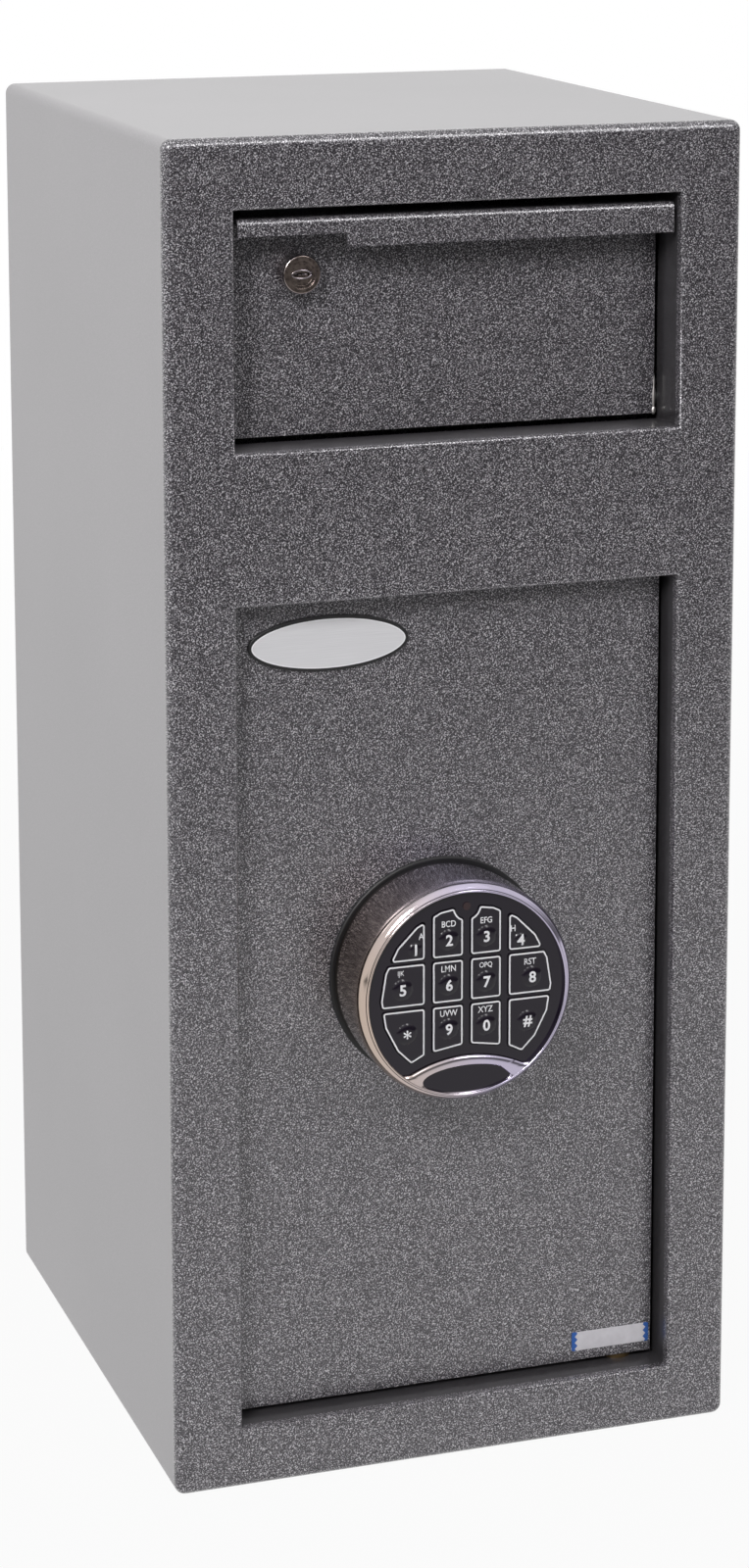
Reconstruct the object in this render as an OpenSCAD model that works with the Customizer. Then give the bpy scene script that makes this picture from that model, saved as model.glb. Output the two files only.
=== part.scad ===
// Under-counter deposit safe: a welded steel casing with a tilting deposit hopper above
// a hinged door, which a turning keypad locks through a rack and pinion.
// Millimetres. Z is up, the front faces -Y, and the origin is the centre of the base.

/* [Casing] */
// Width of the casing
body_w = 222; // [216:1:260]
// Depth of the casing from the front plate to the back
body_d = 238; // [225:1:320]
// Height of the casing
body_h = 508; // [500:1:560]
// Thickness of the bent wrap and the back plate
wall_t = 3; // [2:0.5:4]
// Thickness of the front plate
face_t = 4; // [3:0.5:5]
// Outer radius of the four long bends of the wrap
corner_r = 4; // [4:0.5:8]
// Radius ground on the front plate's outer edge
face_edge_r = 1.8; // [1:0.1:1.9]
// Diameter of each floor fixing hole
floor_hole_d = 12; // [8:0.5:14]
// Distance between the fixing holes across the width
floor_hole_dx = 130; // [90:1:160]
// Distance between the fixing holes across the depth
floor_hole_dy = 130; // [90:1:160]

/* [Front openings] */
// How far both openings sit to the right of the middle
open_x = 1; // [-1:0.5:2]
// Width of the door opening
door_open_w = 172; // [168:1:174]
// Height of the door opening's sill above the base
door_open_z = 23.2; // [20:0.2:28]
// Height of the bar of front plate between both openings
bridge_h = 56.7; // [54:0.1:64]
// Width of the hopper opening
hop_open_w = 172; // [168:1:174]
// Height of the hopper opening
hop_open_h = 87.5; // [86:0.5:92]
// Height of front plate above the hopper opening
head_h = 26.1; // [24:0.1:30]
// Thickness of the folded liners behind both openings
liner_t = 3; // [2:0.5:4]
// Depth of the door liner on the hinge side, top and bottom
door_liner_d = 30; // [28:1:34]
// Depth of the hopper liner at its sides and top
hop_liner_d = 22; // [21:0.5:23]
// Depth of the hopper liner's sill, short of the swinging front
hop_sill_d = 19.5; // [18:0.5:20]

/* [Door] */
// Gap all round the door
door_gap = 2; // [1.6:0.1:3]
// How far the door's face lies behind the front plate
door_recess = 12.5; // [11:0.5:14]
// Thickness of the door plate
door_t = 5; // [4:0.5:6]
// Distance from the door's right edge to the hinge line
hinge_in = 12; // [12:0.5:18]
// Distance from the door's face back to the hinge line
hinge_back = 6.5; // [6:0.25:7]
// Diameter of the hinge pins
hinge_pin_d = 8; // [6:0.5:9]
// Outer diameter of the hinge bushes
hinge_bush_d = 12; // [11:0.5:13]
// Thickness of the stop strips behind the door
jamb_t = 3; // [2:0.5:4]
// Width of the stop strips
jamb_w = 6; // [5:0.5:8]
// Gap between the door and the stop strips
jamb_gap = 0.5; // [0.3:0.1:1]
// Depth of the sheet cover over the boltwork
cover_d = 32; // [31:0.5:36]
// Thickness of the cover's sheet
cover_t = 1.5; // [1:0.25:2]

/* [Boltwork] */
// Diameter of the two locking bolts
bolt_d = 12; // [10:0.5:13]
// Distance of each bolt above and below the keypad's axis
bolt_dz = 75; // [60:1:85]
// Thickness of the bolt bar
bar_t = 5; // [4:0.5:6]
// Width of the bolt bar's upright
bar_w = 14; // [12:0.5:16]
// Tooth size of the rack and pinion
gear_module = 1.5; // [1.4:0.05:1.6]
// Number of pinion teeth
gear_teeth = 12; // [11:1:13]
// Thickness of the pinion
pinion_t = 6; // [5:0.5:7]
// Diameter of the spindle through the door
spindle_d = 8; // [7:0.5:9]
// Diameter of the lead's bore along the spindle
spindle_bore_d = 4.6; // [4.4:0.1:5]
// Diameter of the keypad lead
lead_d = 3; // [2.4:0.2:3.4]
// Width of the lock case
case_w = 58; // [50:1:60]
// Height of the lock case
case_h = 82; // [70:1:85]
// Depth of the lock case
case_d = 28; // [27:0.5:29]

/* [Keypad] */
// Position of the keypad's axis across the front
pad_x = -3.5; // [-6:0.5:0]
// How far the keypad's axis lies above the middle of the door opening
pad_rise = 10.55; // [5:0.05:16]
// Outer diameter of the keypad housing
pad_d = 84; // [83:0.5:88]
// How far the keypad stands out of the door
pad_out = 33; // [32:0.5:36]
// Thickness of the housing's wall
pad_wall = 2; // [1.5:0.25:2.5]
// Roundness of the housing's front rim
pad_rim_r = 1.6; // [1.2:0.1:1.8]
// Diameter of the black ring on the door
ring_d = 90; // [88:1:96]
// Thickness of the black ring
ring_t = 4; // [3:0.5:5]
// Diameter of the key plate
plate_d = 77.2; // [76.5:0.1:77.6]
// Thickness of the key plate
plate_t = 1.6; // [1.2:0.1:2]
// Distance between the columns of keys
key_dx = 14.9; // [14.5:0.1:15.5]
// Distance between the rows of keys
key_dz = 17.3; // [17:0.1:17.8]
// Width of a middle key
key_w = 12; // [11:0.25:12.5]
// Height of a middle key
key_h = 16; // [14.5:0.25:16.2]
// Radius of the arc that the outer keys end on
key_field_r = 33.6; // [32.5:0.1:34]
// How far each key travels
key_travel = 0.8; // [0.5:0.1:1]
// How far each key stands out of the key plate
key_proud = 0.6; // [0.4:0.1:1]

/* [Hopper] */
// Gap between the hopper and its opening
hop_gap = 2; // [1.6:0.1:2.6]
// Thickness of the hopper's sheet
hop_t = 2; // [1.5:0.25:2.25]
// How far the hopper's face lies behind the front plate
hop_recess = 20; // [19.5:0.25:20.5]
// Distance from the hopper's face back to its pivot line
hop_pivot_back = 5; // [4.6:0.1:5.2]
// Height of the pivot line above the sill
hop_pivot_up = 7.6; // [7.4:0.1:9]
// Diameter of the hopper's pivot pins
hop_pin_d = 4; // [3:0.25:4]
// Radius of the cheeks about the pivot
cheek_r = 76; // [70:1:77]
// Length of the hopper's floor from the pivot
floor_len = 80; // [70:1:82]
// Slope of the closed hopper's floor
floor_slope = 35; // [32:1:40]
// How far the hopper tilts out
hop_tilt = 50; // [40:1:52]
// How far the handle lip stands in front of the hopper's face
lip_out = 15.5; // [14:0.5:16.5]
// Drop of the handle lip, right of the lock
lip_drop = 11; // [9:0.5:14]
// Drop of the handle lip above the lock
lip_drop_lock = 6; // [5:0.5:8]

/* [Hopper lock] */
// Position of the key lock across the front
lock_x = -56; // [-60:0.5:-50]
// Height of the key lock above the hopper's sill
lock_up = 62; // [58:0.5:64]
// Diameter of the lock's front collar
collar_d = 14.5; // [13.5:0.5:16]
// Diameter of the lock's threaded body
lock_body_d = 12; // [11.5:0.25:12.5]
// Diameter of the turning plug
plug_d = 8; // [7:0.5:9]
// Length of the lock's cam from the plug's axis to its tip
cam_len = 34; // [33:0.5:37]

/* [Plates and labels] */
// Width of the oval plate on the door
badge_w = 62; // [50:1:66]
// Height of the oval plate on the door
badge_h = 21; // [16:0.5:23]
// Width of the small label at the foot of the door
label_w = 32; // [24:1:36]
// Height of the small label
label_h = 7.5; // [6:0.5:9]

/* [Hidden] */
$fn = 64;

// Small shared clearances
touch_gap = 0.3;
run_gap = 0.05;
cut = 1;

// The front plane, and the depth behind it of each layer of the door
front_y = -body_d / 2;
door_rear = door_recess + door_t;
jamb_d = door_rear + jamb_gap;
left_liner_d = jamb_d + jamb_t;

// Places of the two openings, the door and the keypad's axis
hop_open_z = body_h - head_h - hop_open_h;
door_open_h = hop_open_z - bridge_h - door_open_z;
pad_z = door_open_z + door_open_h / 2 + pad_rise;
door_l = open_x - door_open_w / 2;
door_r = open_x + door_open_w / 2;
door_top = door_open_z + door_open_h;
hop_l = open_x - hop_open_w / 2;
hop_r = open_x + hop_open_w / 2;
hop_top = hop_open_z + hop_open_h;

// Hinge line of the door
pivot_x = door_r - door_gap - hinge_in;
pivot_d = door_recess + hinge_back;
block_w = 18;
block_d = pivot_d + hinge_pin_d / 2 + 1.5 - door_rear;
block_h = 16;
block_sweep = norm([block_w / 2, door_rear + block_d - pivot_d]) + 1;
bush_len = 8;
bush_outer_d = 14;
dead_t = 4;
dead_foot = 10;
dead_clear = 20;
dead_hook = door_r + 8;
dead_web = pivot_x - block_w / 2;
dead_back = door_liner_d + 1.5;

// Boltwork planes and places
bolt_clear = 1.4;
bolt_plane = left_liner_d + bolt_clear + bolt_d / 2;
gear_r = gear_module * gear_teeth / 2;
bolt_travel = gear_r * PI / 2;
cover_rear = door_rear + cover_d;
jamb_reach = pivot_x - (door_l + jamb_w) - 1;
bolt_tip_x = pivot_x - sqrt(pow(jamb_reach, 2) - pow(bolt_plane + bolt_d / 2 - pivot_d, 2));
bolt_nose = 1.5;
bar_left = pad_x - 40.5;
cover_l = pivot_x - sqrt(pow(jamb_reach, 2) - pow(cover_rear - pivot_d, 2));
cover_r = pivot_x - 23;
cover_inset_z = 10;
cover_z0 = door_open_z + door_gap + cover_inset_z;
cover_z1 = door_top - door_gap - cover_inset_z;
post_d = 9;
post_in = 9;
screw_d = 4;
screw_len = 10;
screw_bite = 3;
spindle_end = bolt_plane + pinion_t / 2 + 4;
lead_bend_r = 6;
lead_plane = spindle_end + 1 + lead_bend_r;

// Layers of the keypad, as depths behind the front plane
ring_front = door_recess - ring_t;
pad_rear = ring_front - touch_gap;
pad_front = door_recess - pad_out;
plate_front = pad_front + 1.9;
key_flange_t = 0.8;
key_flange_front = plate_front + plate_t + 0.2;
mat_front = key_flange_front + key_flange_t + key_travel + 0.2;
mat_t = 1.2;
board_t = 1.6;
board_rear = mat_front + mat_t + board_t;
pad_back_t = 2;
pad_back_front = pad_rear - pad_back_t;
ledge_front = plate_front + plate_t;
ledge_r = 36.5;
crescent_front = pad_front + 0.9;
boss_d = 20;
boss_len = 3.5;
board_r = pad_d / 2 - pad_wall - 2;
battery_w = 48.5;
battery_h = 26.5;
battery_t = 17.5;

// Shape of the key field: the arc above the crescent and the notch round the lamp
crescent_r = 47.8;
crescent_z = -71.9;
field_low_r = crescent_r + 4.4;
lamp_z = 33;
lamp_d = 3;
lamp_notch_r = 4.8;
row_z = 5;
key_clear = 0.3;
key_corner = 1.2;
key_tab = 0.9;
outer_dome_x = [21.5, 24.5, 23.5];
dome_d = 7.2;
dome_h = 0.7;
inlay_w = 34;
inlay_h = 10;
inlay_z = -33;

// Hopper pivot line
hop_pivot_d = hop_recess + hop_pivot_back;
hop_pivot_z = hop_open_z + hop_pivot_up;
hop_side_t = 3;
side_rear = hop_pivot_d + floor_len + 1;
hop_head = hop_top - 3.8;
hop_foot = hop_open_z + hop_gap;
lip_step_x = lock_x + 14;
floor_t = 1.5;
floor_drop = 4.3;
baffle_above = 10;
tooth_h = 8;
tooth_pitch = 12;
baffle_t = 2;
lock_z = hop_open_z + lock_up;
lock_rear = 38;
collar_out = 8;
lock_front = hop_recess - collar_out;
tenon = 5.4;
cam_t = 3;
strike_t = 3;
strike_w = 40;
strike_rear = lock_rear - 0.5;

// Moves its children to a depth behind the front plane
module at_depth(d) {
  translate([0, front_y + d, 0]) children();
}

// A round bar along Y from one depth to another, centred on x and z
module bar_y(x, z, d0, d1, dia) {
  at_depth(d0) translate([x, 0, z]) rotate([-90, 0, 0]) cylinder(d = dia, h = d1 - d0);
}

// A round bar along X between two places, at a depth and a height
module bar_x(x0, x1, d, z, dia) {
  at_depth(d) translate([x0, 0, z]) rotate([0, 90, 0]) cylinder(d = dia, h = x1 - x0);
}

// A box given by its sides: across, depth behind the front plane, and height
module slab(x0, x1, d0, d1, z0, z1) {
  at_depth(d0) translate([x0, 0, z0]) cube([x1 - x0, d1 - d0, z1 - z0]);
}

// A flat outline drawn in X and Z, thickened backwards from one depth to another
module plate_y(d0, d1) {
  at_depth(d1) rotate([90, 0, 0]) linear_extrude(d1 - d0) children();
}

// An outline drawn in depth and height, stretched along X
module section_x(x0, x1) {
  at_depth(0) translate([x0, 0, 0]) rotate([90, 0, 90]) linear_extrude(x1 - x0) children();
}

// A flat rectangle with round corners, standing on z = 0
module round_rect(w, h, r) {
  translate([-w / 2, r]) square([w, h - 2 * r]);
  translate([-w / 2 + r, 0]) square([w - 2 * r, h]);
  for (x = [-w / 2 + r, w / 2 - r], z = [r, h - r]) translate([x, z]) circle(r);
}

// The bent sheet that makes the base, both sides and the top
module casing_wrap() {
  color("dimgray") difference() {
    plate_y(face_t, body_d) difference() {
      round_rect(body_w, body_h, corner_r);
      translate([0, wall_t]) inner_outline();
    }
    for (x = [-1, 1], y = [-1, 1])
      translate([x * floor_hole_dx / 2, y * floor_hole_dy / 2, -cut])
        cylinder(d = floor_hole_d, h = wall_t + 2 * cut);
  }
}

// The inside of the wrap, which the back plate fills
module inner_outline() {
  round_rect(body_w - 2 * wall_t, body_h - 2 * wall_t, max(corner_r - wall_t, 0.5));
}

module back_plate() {
  color("dimgray") plate_y(body_d - wall_t, body_d) translate([0, wall_t]) inner_outline();
}

// Section through the front plate's outer edge: the distance out from a corner's centre, and the depth
module edge_profile() {
  r = face_edge_r;
  square([corner_r - r, face_t]);
  translate([0, r]) square([corner_r, face_t - r]);
  translate([corner_r - r, r]) circle(r);
}

// The front plate with its outer edge ground round, pierced by both openings
module face_plate() {
  half_w = body_w / 2 - corner_r;
  half_h = body_h / 2 - corner_r;
  color("dimgray") difference() {
    at_depth(0) translate([0, 0, body_h / 2]) union() {
      for (x = [-half_w, half_w], z = [-half_h, half_h])
        translate([x, 0, z]) rotate([-90, 0, 0]) rotate_extrude() edge_profile();
      for (side = [0, 180]) rotate([0, side, 0]) {
        translate([half_w, 0, half_h]) rotate([180, 0, 0]) linear_extrude(2 * half_h)
          mirror([0, 1]) edge_profile();
        translate([-half_w, 0, half_h]) rotate([90, 0, 90]) linear_extrude(2 * half_w)
          mirror([1, -1]) edge_profile();
      }
      translate([-half_w, 0, -half_h]) cube([2 * half_w, face_t, 2 * half_h]);
    }
    slab(door_l, door_r, -cut, face_t + cut, door_open_z, door_top);
    slab(hop_l, hop_r, -cut, face_t + cut, hop_open_z, hop_top);
  }
}

// The folded liner that the door closes into; its left wall stops short for the bolts
module door_liner() {
  color("dimgray") difference() {
    slab(door_l - liner_t, door_r + liner_t, face_t, door_liner_d, door_open_z - liner_t, door_top + liner_t);
    slab(door_l, door_r, face_t - cut, door_liner_d + cut, door_open_z, door_top);
    slab(door_l - liner_t - cut, door_l + cut, left_liner_d, door_liner_d + cut, door_open_z, door_top);
    at_depth(pivot_d) translate([pivot_x, 0, door_open_z - liner_t - cut])
      cylinder(d = hinge_bush_d, h = door_open_h + 2 * liner_t + 2 * cut);
  }
}

// The folded liner round the hopper, with a shorter sill
module hopper_liner() {
  color("dimgray") difference() {
    slab(hop_l - liner_t, hop_r + liner_t, face_t, hop_liner_d, hop_open_z - liner_t, hop_top + liner_t);
    slab(hop_l, hop_r, face_t - cut, hop_liner_d + cut, hop_open_z, hop_top);
    slab(hop_l, hop_r, hop_sill_d, hop_liner_d + cut, hop_open_z - liner_t - cut, hop_open_z + cut);
  }
}

// Three strips welded inside the liner, which the shut door rests against
module jamb_strips() {
  end_x = pivot_x - block_sweep - 1;
  rear = jamb_d + jamb_t;
  color("dimgray") {
    slab(door_l, door_l + jamb_w, jamb_d, rear, door_open_z, door_top);
    slab(door_l + jamb_w + touch_gap, end_x, jamb_d, rear, door_top - jamb_w, door_top);
    slab(door_l + jamb_w + touch_gap, end_x, jamb_d, rear, door_open_z, door_open_z + jamb_w);
  }
}

// Brass bushes in the liner; the lower one carries the door
module hinge_bushes() {
  proud = door_gap - touch_gap;
  color("goldenrod") for (z = [door_open_z - bush_len, door_top - proud])
    at_depth(pivot_d) translate([pivot_x, 0, z]) difference() {
      cylinder(d = hinge_bush_d, h = bush_len + proud);
      translate([0, 0, -cut]) cylinder(d = hinge_pin_d + 2 * run_gap, h = bush_len + proud + 2 * cut);
    }
}

// A plate beside the hopper that carries its pivot pin and closes the throat
module hopper_side(x0) {
  color("dimgray") difference() {
    section_x(x0, x0 + hop_side_t) polygon([
      [hop_liner_d / 2, hop_open_z - 2 * liner_t], [hop_pivot_d + 20, hop_open_z - 2 * liner_t],
      [side_rear, hop_pivot_z - 0.7 * floor_len], [side_rear, body_h - wall_t],
      [hop_liner_d / 2, body_h - wall_t]]);
    bar_x(x0 - cut, x0 + hop_side_t + cut, hop_pivot_d, hop_pivot_z, hop_pin_d);
  }
}

module hopper_side_left() { hopper_side(hop_l - liner_t - hop_side_t); }

module hopper_side_right() { hopper_side(hop_r + liner_t); }

// A saw edge along X: points of a row of teeth from x0 to x1, standing at y with this height
function saw(x0, x1, y, height, pitch) =
  let (n = floor((x1 - x0) / pitch), step = (x1 - x0) / n)
  [for (i = [0 : n - 1]) each [[x0 + i * step, y], [x0 + (i + 0.5) * step, y + height]], [x1, y]];

// The toothed plate that hangs from the roof behind the hopper, against fishing
module upper_baffle() {
  half = body_w / 2 - wall_t;
  low = hop_pivot_z + baffle_above;
  color("dimgray") plate_y(side_rear, side_rear + baffle_t)
    polygon(concat(saw(-half, half, low, -tooth_h, tooth_pitch),
      [[half, body_h - wall_t], [-half, body_h - wall_t]]));
}

// The channel under the roof: the hopper's cam turns up behind its short rear leg, and the
// hopper's head shuts against its long front leg
module cam_strike() {
  x0 = lock_x - strike_w / 2;
  x1 = lock_x + strike_w / 2;
  roof = body_h - wall_t;
  stop_d = hop_recess + hop_t + touch_gap;
  color("dimgray") union() {
    slab(x0, x1, strike_rear - strike_t, strike_rear, hop_top + 1, roof);
    slab(x0, x1, stop_d, stop_d + strike_t, hop_head - hop_t - 4, roof);
    slab(x0, x1, stop_d, strike_rear, roof - strike_t, roof);
  }
}

// Two shouldered rivets from the side plates through the cheeks
module hopper_pivot_pins() {
  shoulder_d = hop_pin_d + 1.6;
  head_t = 1.5;
  cheek_in = hop_gap + hop_t;
  module pin() {
    rotate([0, 90, 0]) {
      cylinder(d = hop_pin_d, h = hop_side_t + liner_t + cheek_in + touch_gap + head_t);
      translate([0, 0, hop_side_t]) cylinder(d = shoulder_d, h = liner_t + hop_gap - touch_gap);
      translate([0, 0, hop_side_t + liner_t + cheek_in + touch_gap]) cylinder(d = shoulder_d, h = head_t);
    }
  }
  color("silver") at_depth(hop_pivot_d) translate([0, 0, hop_pivot_z]) {
    translate([hop_l - liner_t - hop_side_t, 0, 0]) pin();
    translate([hop_r + liner_t + hop_side_t, 0, 0]) mirror([1, 0, 0]) pin();
  }
}

// The steel door plate, grooved behind for the hinge pins and drilled for the spindle and screws
module door_plate() {
  z0 = door_open_z + door_gap;
  z1 = door_top - door_gap;
  color("dimgray") difference() {
    slab(door_l + door_gap, door_r - door_gap, door_recess, door_rear, z0, z1);
    for (z = [z0 - cut, z1 - block_h])
      at_depth(pivot_d) translate([pivot_x, 0, z]) cylinder(d = hinge_pin_d, h = block_h + cut);
    bar_y(pad_x, pad_z, door_recess - cut, door_rear + cut, bush_outer_d);
    for (p = case_screw_places()) bar_y(p[0], p[1], door_rear - screw_bite, door_rear + cut, screw_d);
  }
}

// Blocks welded behind the door that hold the hinge pins
module hinge_blocks() {
  color("dimgray") for (z = [door_open_z + door_gap, door_top - door_gap - block_h]) difference() {
    slab(pivot_x - block_w / 2, pivot_x + block_w / 2, door_rear, door_rear + block_d, z, z + block_h);
    at_depth(pivot_d) translate([pivot_x, 0, z - cut]) cylinder(d = hinge_pin_d, h = block_h + 2 * cut);
  }
}

module hinge_pins() {
  reach = bush_len - 1;
  len = reach + door_gap + block_h;
  color("silver") for (z = [door_open_z - reach, door_top + reach - len])
    at_depth(pivot_d) translate([pivot_x, 0, z]) cylinder(d = hinge_pin_d, h = len);
}

// A cranked bar behind the hinge side, which holds the door if its hinges are cut
module dead_bar() {
  z0 = door_open_z + door_gap + block_h + dead_clear;
  z1 = door_top - door_gap - block_h - dead_clear;
  color("dimgray") at_depth(0) translate([0, 0, z0]) linear_extrude(z1 - z0) polygon([
    [dead_web - dead_foot, door_rear], [dead_web + dead_t, door_rear], [dead_web + dead_t, dead_back],
    [dead_hook, dead_back], [dead_hook, dead_back + dead_t], [dead_web, dead_back + dead_t],
    [dead_web, door_rear + dead_t], [dead_web - dead_foot, door_rear + dead_t]]);
}

// Where the cover's four posts stand
function post_places() =
  [for (x = [cover_l + post_in, cover_r - post_in], z = [cover_z0 + post_in, cover_z1 - post_in]) [x, z]];

module cover_posts() {
  top = cover_rear - cover_t;
  color("silver") for (p = post_places()) difference() {
    bar_y(p[0], p[1], door_rear, top, post_d);
    bar_y(p[0], p[1], top - screw_len, top + cut, screw_d);
  }
}

// The sheet steel pan over the boltwork, slotted on the left for the locking bolts
module door_cover() {
  color("gray") difference() {
    slab(cover_l, cover_r, door_rear, cover_rear, cover_z0, cover_z1);
    slab(cover_l + cover_t, cover_r - cover_t, door_rear - cut, cover_rear - cover_t,
      cover_z0 + cover_t, cover_z1 - cover_t);
    for (z = bolt_heights()) bar_x(cover_l - cut, cover_l + cover_t + cut, bolt_plane, z, bolt_d + 1);
    for (p = post_places()) bar_y(p[0], p[1], cover_rear - cover_t - cut, cover_rear + cut, screw_d + 0.4);
  }
}

// A round-headed screw along Y: the shank from d0 and the head from d1
module screw_y(x, z, d0, d1, head_d, head_t) {
  bar_y(x, z, d0, d1, screw_d);
  bar_y(x, z, d1, d1 + head_t, head_d);
}

module cover_screws() {
  color("silver") for (p = post_places())
    screw_y(p[0], p[1], cover_rear - cover_t - screw_len, cover_rear, 8, 2);
}

// The blank oval plate at the top of the door
module door_badge() {
  x = door_l + door_gap + 5.4 + badge_w / 2;
  z = door_top - door_gap - 5.6 - badge_h / 2;
  color("silver") plate_y(door_recess - 1.2, door_recess)
    translate([x, z]) scale([badge_w / 2, badge_h / 2]) circle(1);
}

// The blank label at the foot of the door
module door_label() {
  x1 = door_r - door_gap - 1;
  z0 = door_open_z + door_gap + 4;
  color("lightgray") slab(x1 - label_w, x1, door_recess - 0.4, door_recess, z0, z0 + label_h);
}

// The lock case below the pinion, and where its screws go
case_l = pad_x - 16;
case_top = pad_z - gear_r - gear_module - 3;
function case_screw_places() =
  [for (x = [case_l + 7, case_l + case_w - 7], z = [case_top - case_h + 7, case_top - 7]) [x, z]];

module lock_case() {
  color("lightsteelblue") difference() {
    plate_y(door_rear, door_rear + case_d)
      translate([case_l + case_w / 2, case_top - case_h]) round_rect(case_w, case_h, 3);
    for (p = case_screw_places()) bar_y(p[0], p[1], door_rear - cut, door_rear + case_d + cut, screw_d);
  }
}

module lock_case_screws() {
  color("silver") for (p = case_screw_places())
    screw_y(p[0], p[1], door_rear - screw_bite, door_rear + case_d, 7, 1.8);
}

function bolt_heights() = [pad_z - bolt_dz, pad_z + bolt_dz];

// Blocks welded to the door that the locking bolts slide through
module bolt_guides() {
  x0 = cover_l + cover_t + 0.5;
  x1 = bar_left - bolt_travel - 1.5;
  wall = 3;
  half = bolt_d / 2 + wall + 1;
  color("dimgray") for (z = bolt_heights()) difference() {
    slab(x0, x1, door_rear, bolt_plane + bolt_d / 2 + wall, z - half, z + half);
    bar_x(x0 - cut, x1 + cut, bolt_plane, z, bolt_d + 2 * run_gap);
  }
}

module locking_bolts() {
  color("silver") for (z = bolt_heights()) union() {
    bar_x(bolt_tip_x + bolt_nose, bar_left, bolt_plane, z, bolt_d);
    at_depth(bolt_plane) translate([bolt_tip_x, 0, z]) rotate([0, 90, 0])
      cylinder(d1 = bolt_d - 2 * bolt_nose, d2 = bolt_d, h = bolt_nose);
  }
}

// One side of a rack: straight-sided teeth whose gaps centre on x = 0, from tooth k0 to tooth k1
rack_pitch = PI * gear_module;
rack_add = 0.65 * gear_module;
rack_ded = 1.2 * gear_module;
pressure = 20;
gear_slack = 0.3;
function rack_teeth(k0, k1) =
  let (half = rack_pitch / 4 - gear_slack / 4, top = half + rack_ded * tan(pressure),
    tip = half - rack_add * tan(pressure))
  [for (k = [k0 : k1]) let (c = (k + 0.5) * rack_pitch)
    each [[c - top, rack_ded], [c - tip, -rack_add], [c + tip, -rack_add], [c + top, rack_ded]]];

// The upright that carries both bolts, with a rack that runs over the pinion
module bolt_bar() {
  d0 = bolt_plane - bar_t / 2;
  d1 = bolt_plane + bar_t / 2;
  last = 1 + ceil(bolt_travel / rack_pitch);
  rack_z = pad_z + gear_r;
  arm_end = pad_x + (last + 1) * rack_pitch;
  reach = bolt_dz + bolt_d / 2 + 4;
  color("silver") union() {
    slab(bar_left, bar_left + bar_w, d0, d1, pad_z - reach, pad_z + reach);
    slab(bar_left + bar_w - 1, arm_end, d0, d1, rack_z + rack_ded, rack_z + rack_ded + 7);
    plate_y(d0, d1) translate([pad_x, rack_z])
      polygon(concat(rack_teeth(-2, last), [[(last + 1) * rack_pitch, rack_ded + 1],
        [-2 * rack_pitch, rack_ded + 1]]));
  }
}

// Half the angle that an involute tooth fills at a radius, in degrees
base_r = gear_r * cos(pressure);
function roll(a) = tan(a) * 180 / PI - a;
function tooth_half(r) = 90 / gear_teeth - gear_slack / 4 / gear_r * 180 / PI + roll(pressure)
  - roll(acos(min(1, base_r / r)));

function polar(r, a) = [r * cos(a), r * sin(a)];

// The pinion's outline: involute flanks above the base circle, radial ones below it
module pinion_outline() {
  steps = 5;
  tip_r = gear_r + gear_module;
  root_r = gear_r - 1.25 * gear_module;
  radii = [for (i = [0 : steps]) base_r + i * (tip_r - base_r) / steps];
  polygon([for (k = [0 : gear_teeth - 1]) let (a = 90 + k * 360 / gear_teeth) each concat(
    [polar(root_r, a - tooth_half(base_r))], [for (r = radii) polar(r, a - tooth_half(r))],
    [for (i = [steps : -1 : 0]) polar(radii[i], a + tooth_half(radii[i]))],
    [polar(root_r, a + tooth_half(base_r))])]);
}

module pinion() {
  d0 = bolt_plane - pinion_t / 2;
  d1 = bolt_plane + pinion_t / 2;
  color("goldenrod") difference() {
    plate_y(d0, d1) translate([pad_x, pad_z]) pinion_outline();
    bar_y(pad_x, pad_z, d0 - cut, d1 + cut, spindle_d);
  }
}

// The hollow shaft from the keypad through the door
module spindle() {
  color("silver") difference() {
    bar_y(pad_x, pad_z, pad_back_front, spindle_end, spindle_d);
    bar_y(pad_x, pad_z, pad_back_front - cut, spindle_end + cut, spindle_bore_d);
  }
}

module spindle_nut() {
  d0 = bolt_plane + pinion_t / 2;
  color("silver") difference() {
    at_depth(d0) translate([pad_x, 0, pad_z]) rotate([-90, 0, 0])
      cylinder(d = spindle_d + 7, h = spindle_end - d0 - 0.5, $fn = 6);
    bar_y(pad_x, pad_z, d0 - cut, spindle_end, spindle_d);
  }
}

module spindle_bush() {
  color("goldenrod") difference() {
    bar_y(pad_x, pad_z, door_recess, door_rear + 3, bush_outer_d);
    bar_y(pad_x, pad_z, door_recess - cut, door_rear + 3 + cut, spindle_d + 2 * run_gap);
  }
}

// The lead from the circuit board, down the hollow spindle and into the lock case
module keypad_lead() {
  d0 = board_rear + touch_gap;
  d1 = lead_plane - lead_bend_r;
  color("black") {
    bar_y(pad_x, pad_z, d0, d1, lead_d);
    at_depth(d1) translate([pad_x, 0, pad_z - lead_bend_r]) rotate([90, 0, 90])
      rotate_extrude(angle = 90) translate([lead_bend_r, 0]) circle(d = lead_d);
    at_depth(lead_plane) translate([pad_x, 0, case_top])
      cylinder(d = lead_d, h = pad_z - lead_bend_r - case_top);
  }
}

// The black ring on the door that the keypad turns against
module keypad_ring() {
  edge = 1;
  color([0.05, 0.05, 0.05]) difference() {
    at_depth(ring_front) translate([pad_x, 0, pad_z]) rotate([-90, 0, 0]) rotate_extrude() {
      square([ring_d / 2 - edge, ring_t]);
      translate([0, edge]) square([ring_d / 2, ring_t - edge]);
      translate([ring_d / 2 - edge, edge]) circle(edge);
    }
    bar_y(pad_x, pad_z, ring_front - cut, door_recess + cut, boss_d + 2.6);
  }
}

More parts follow.
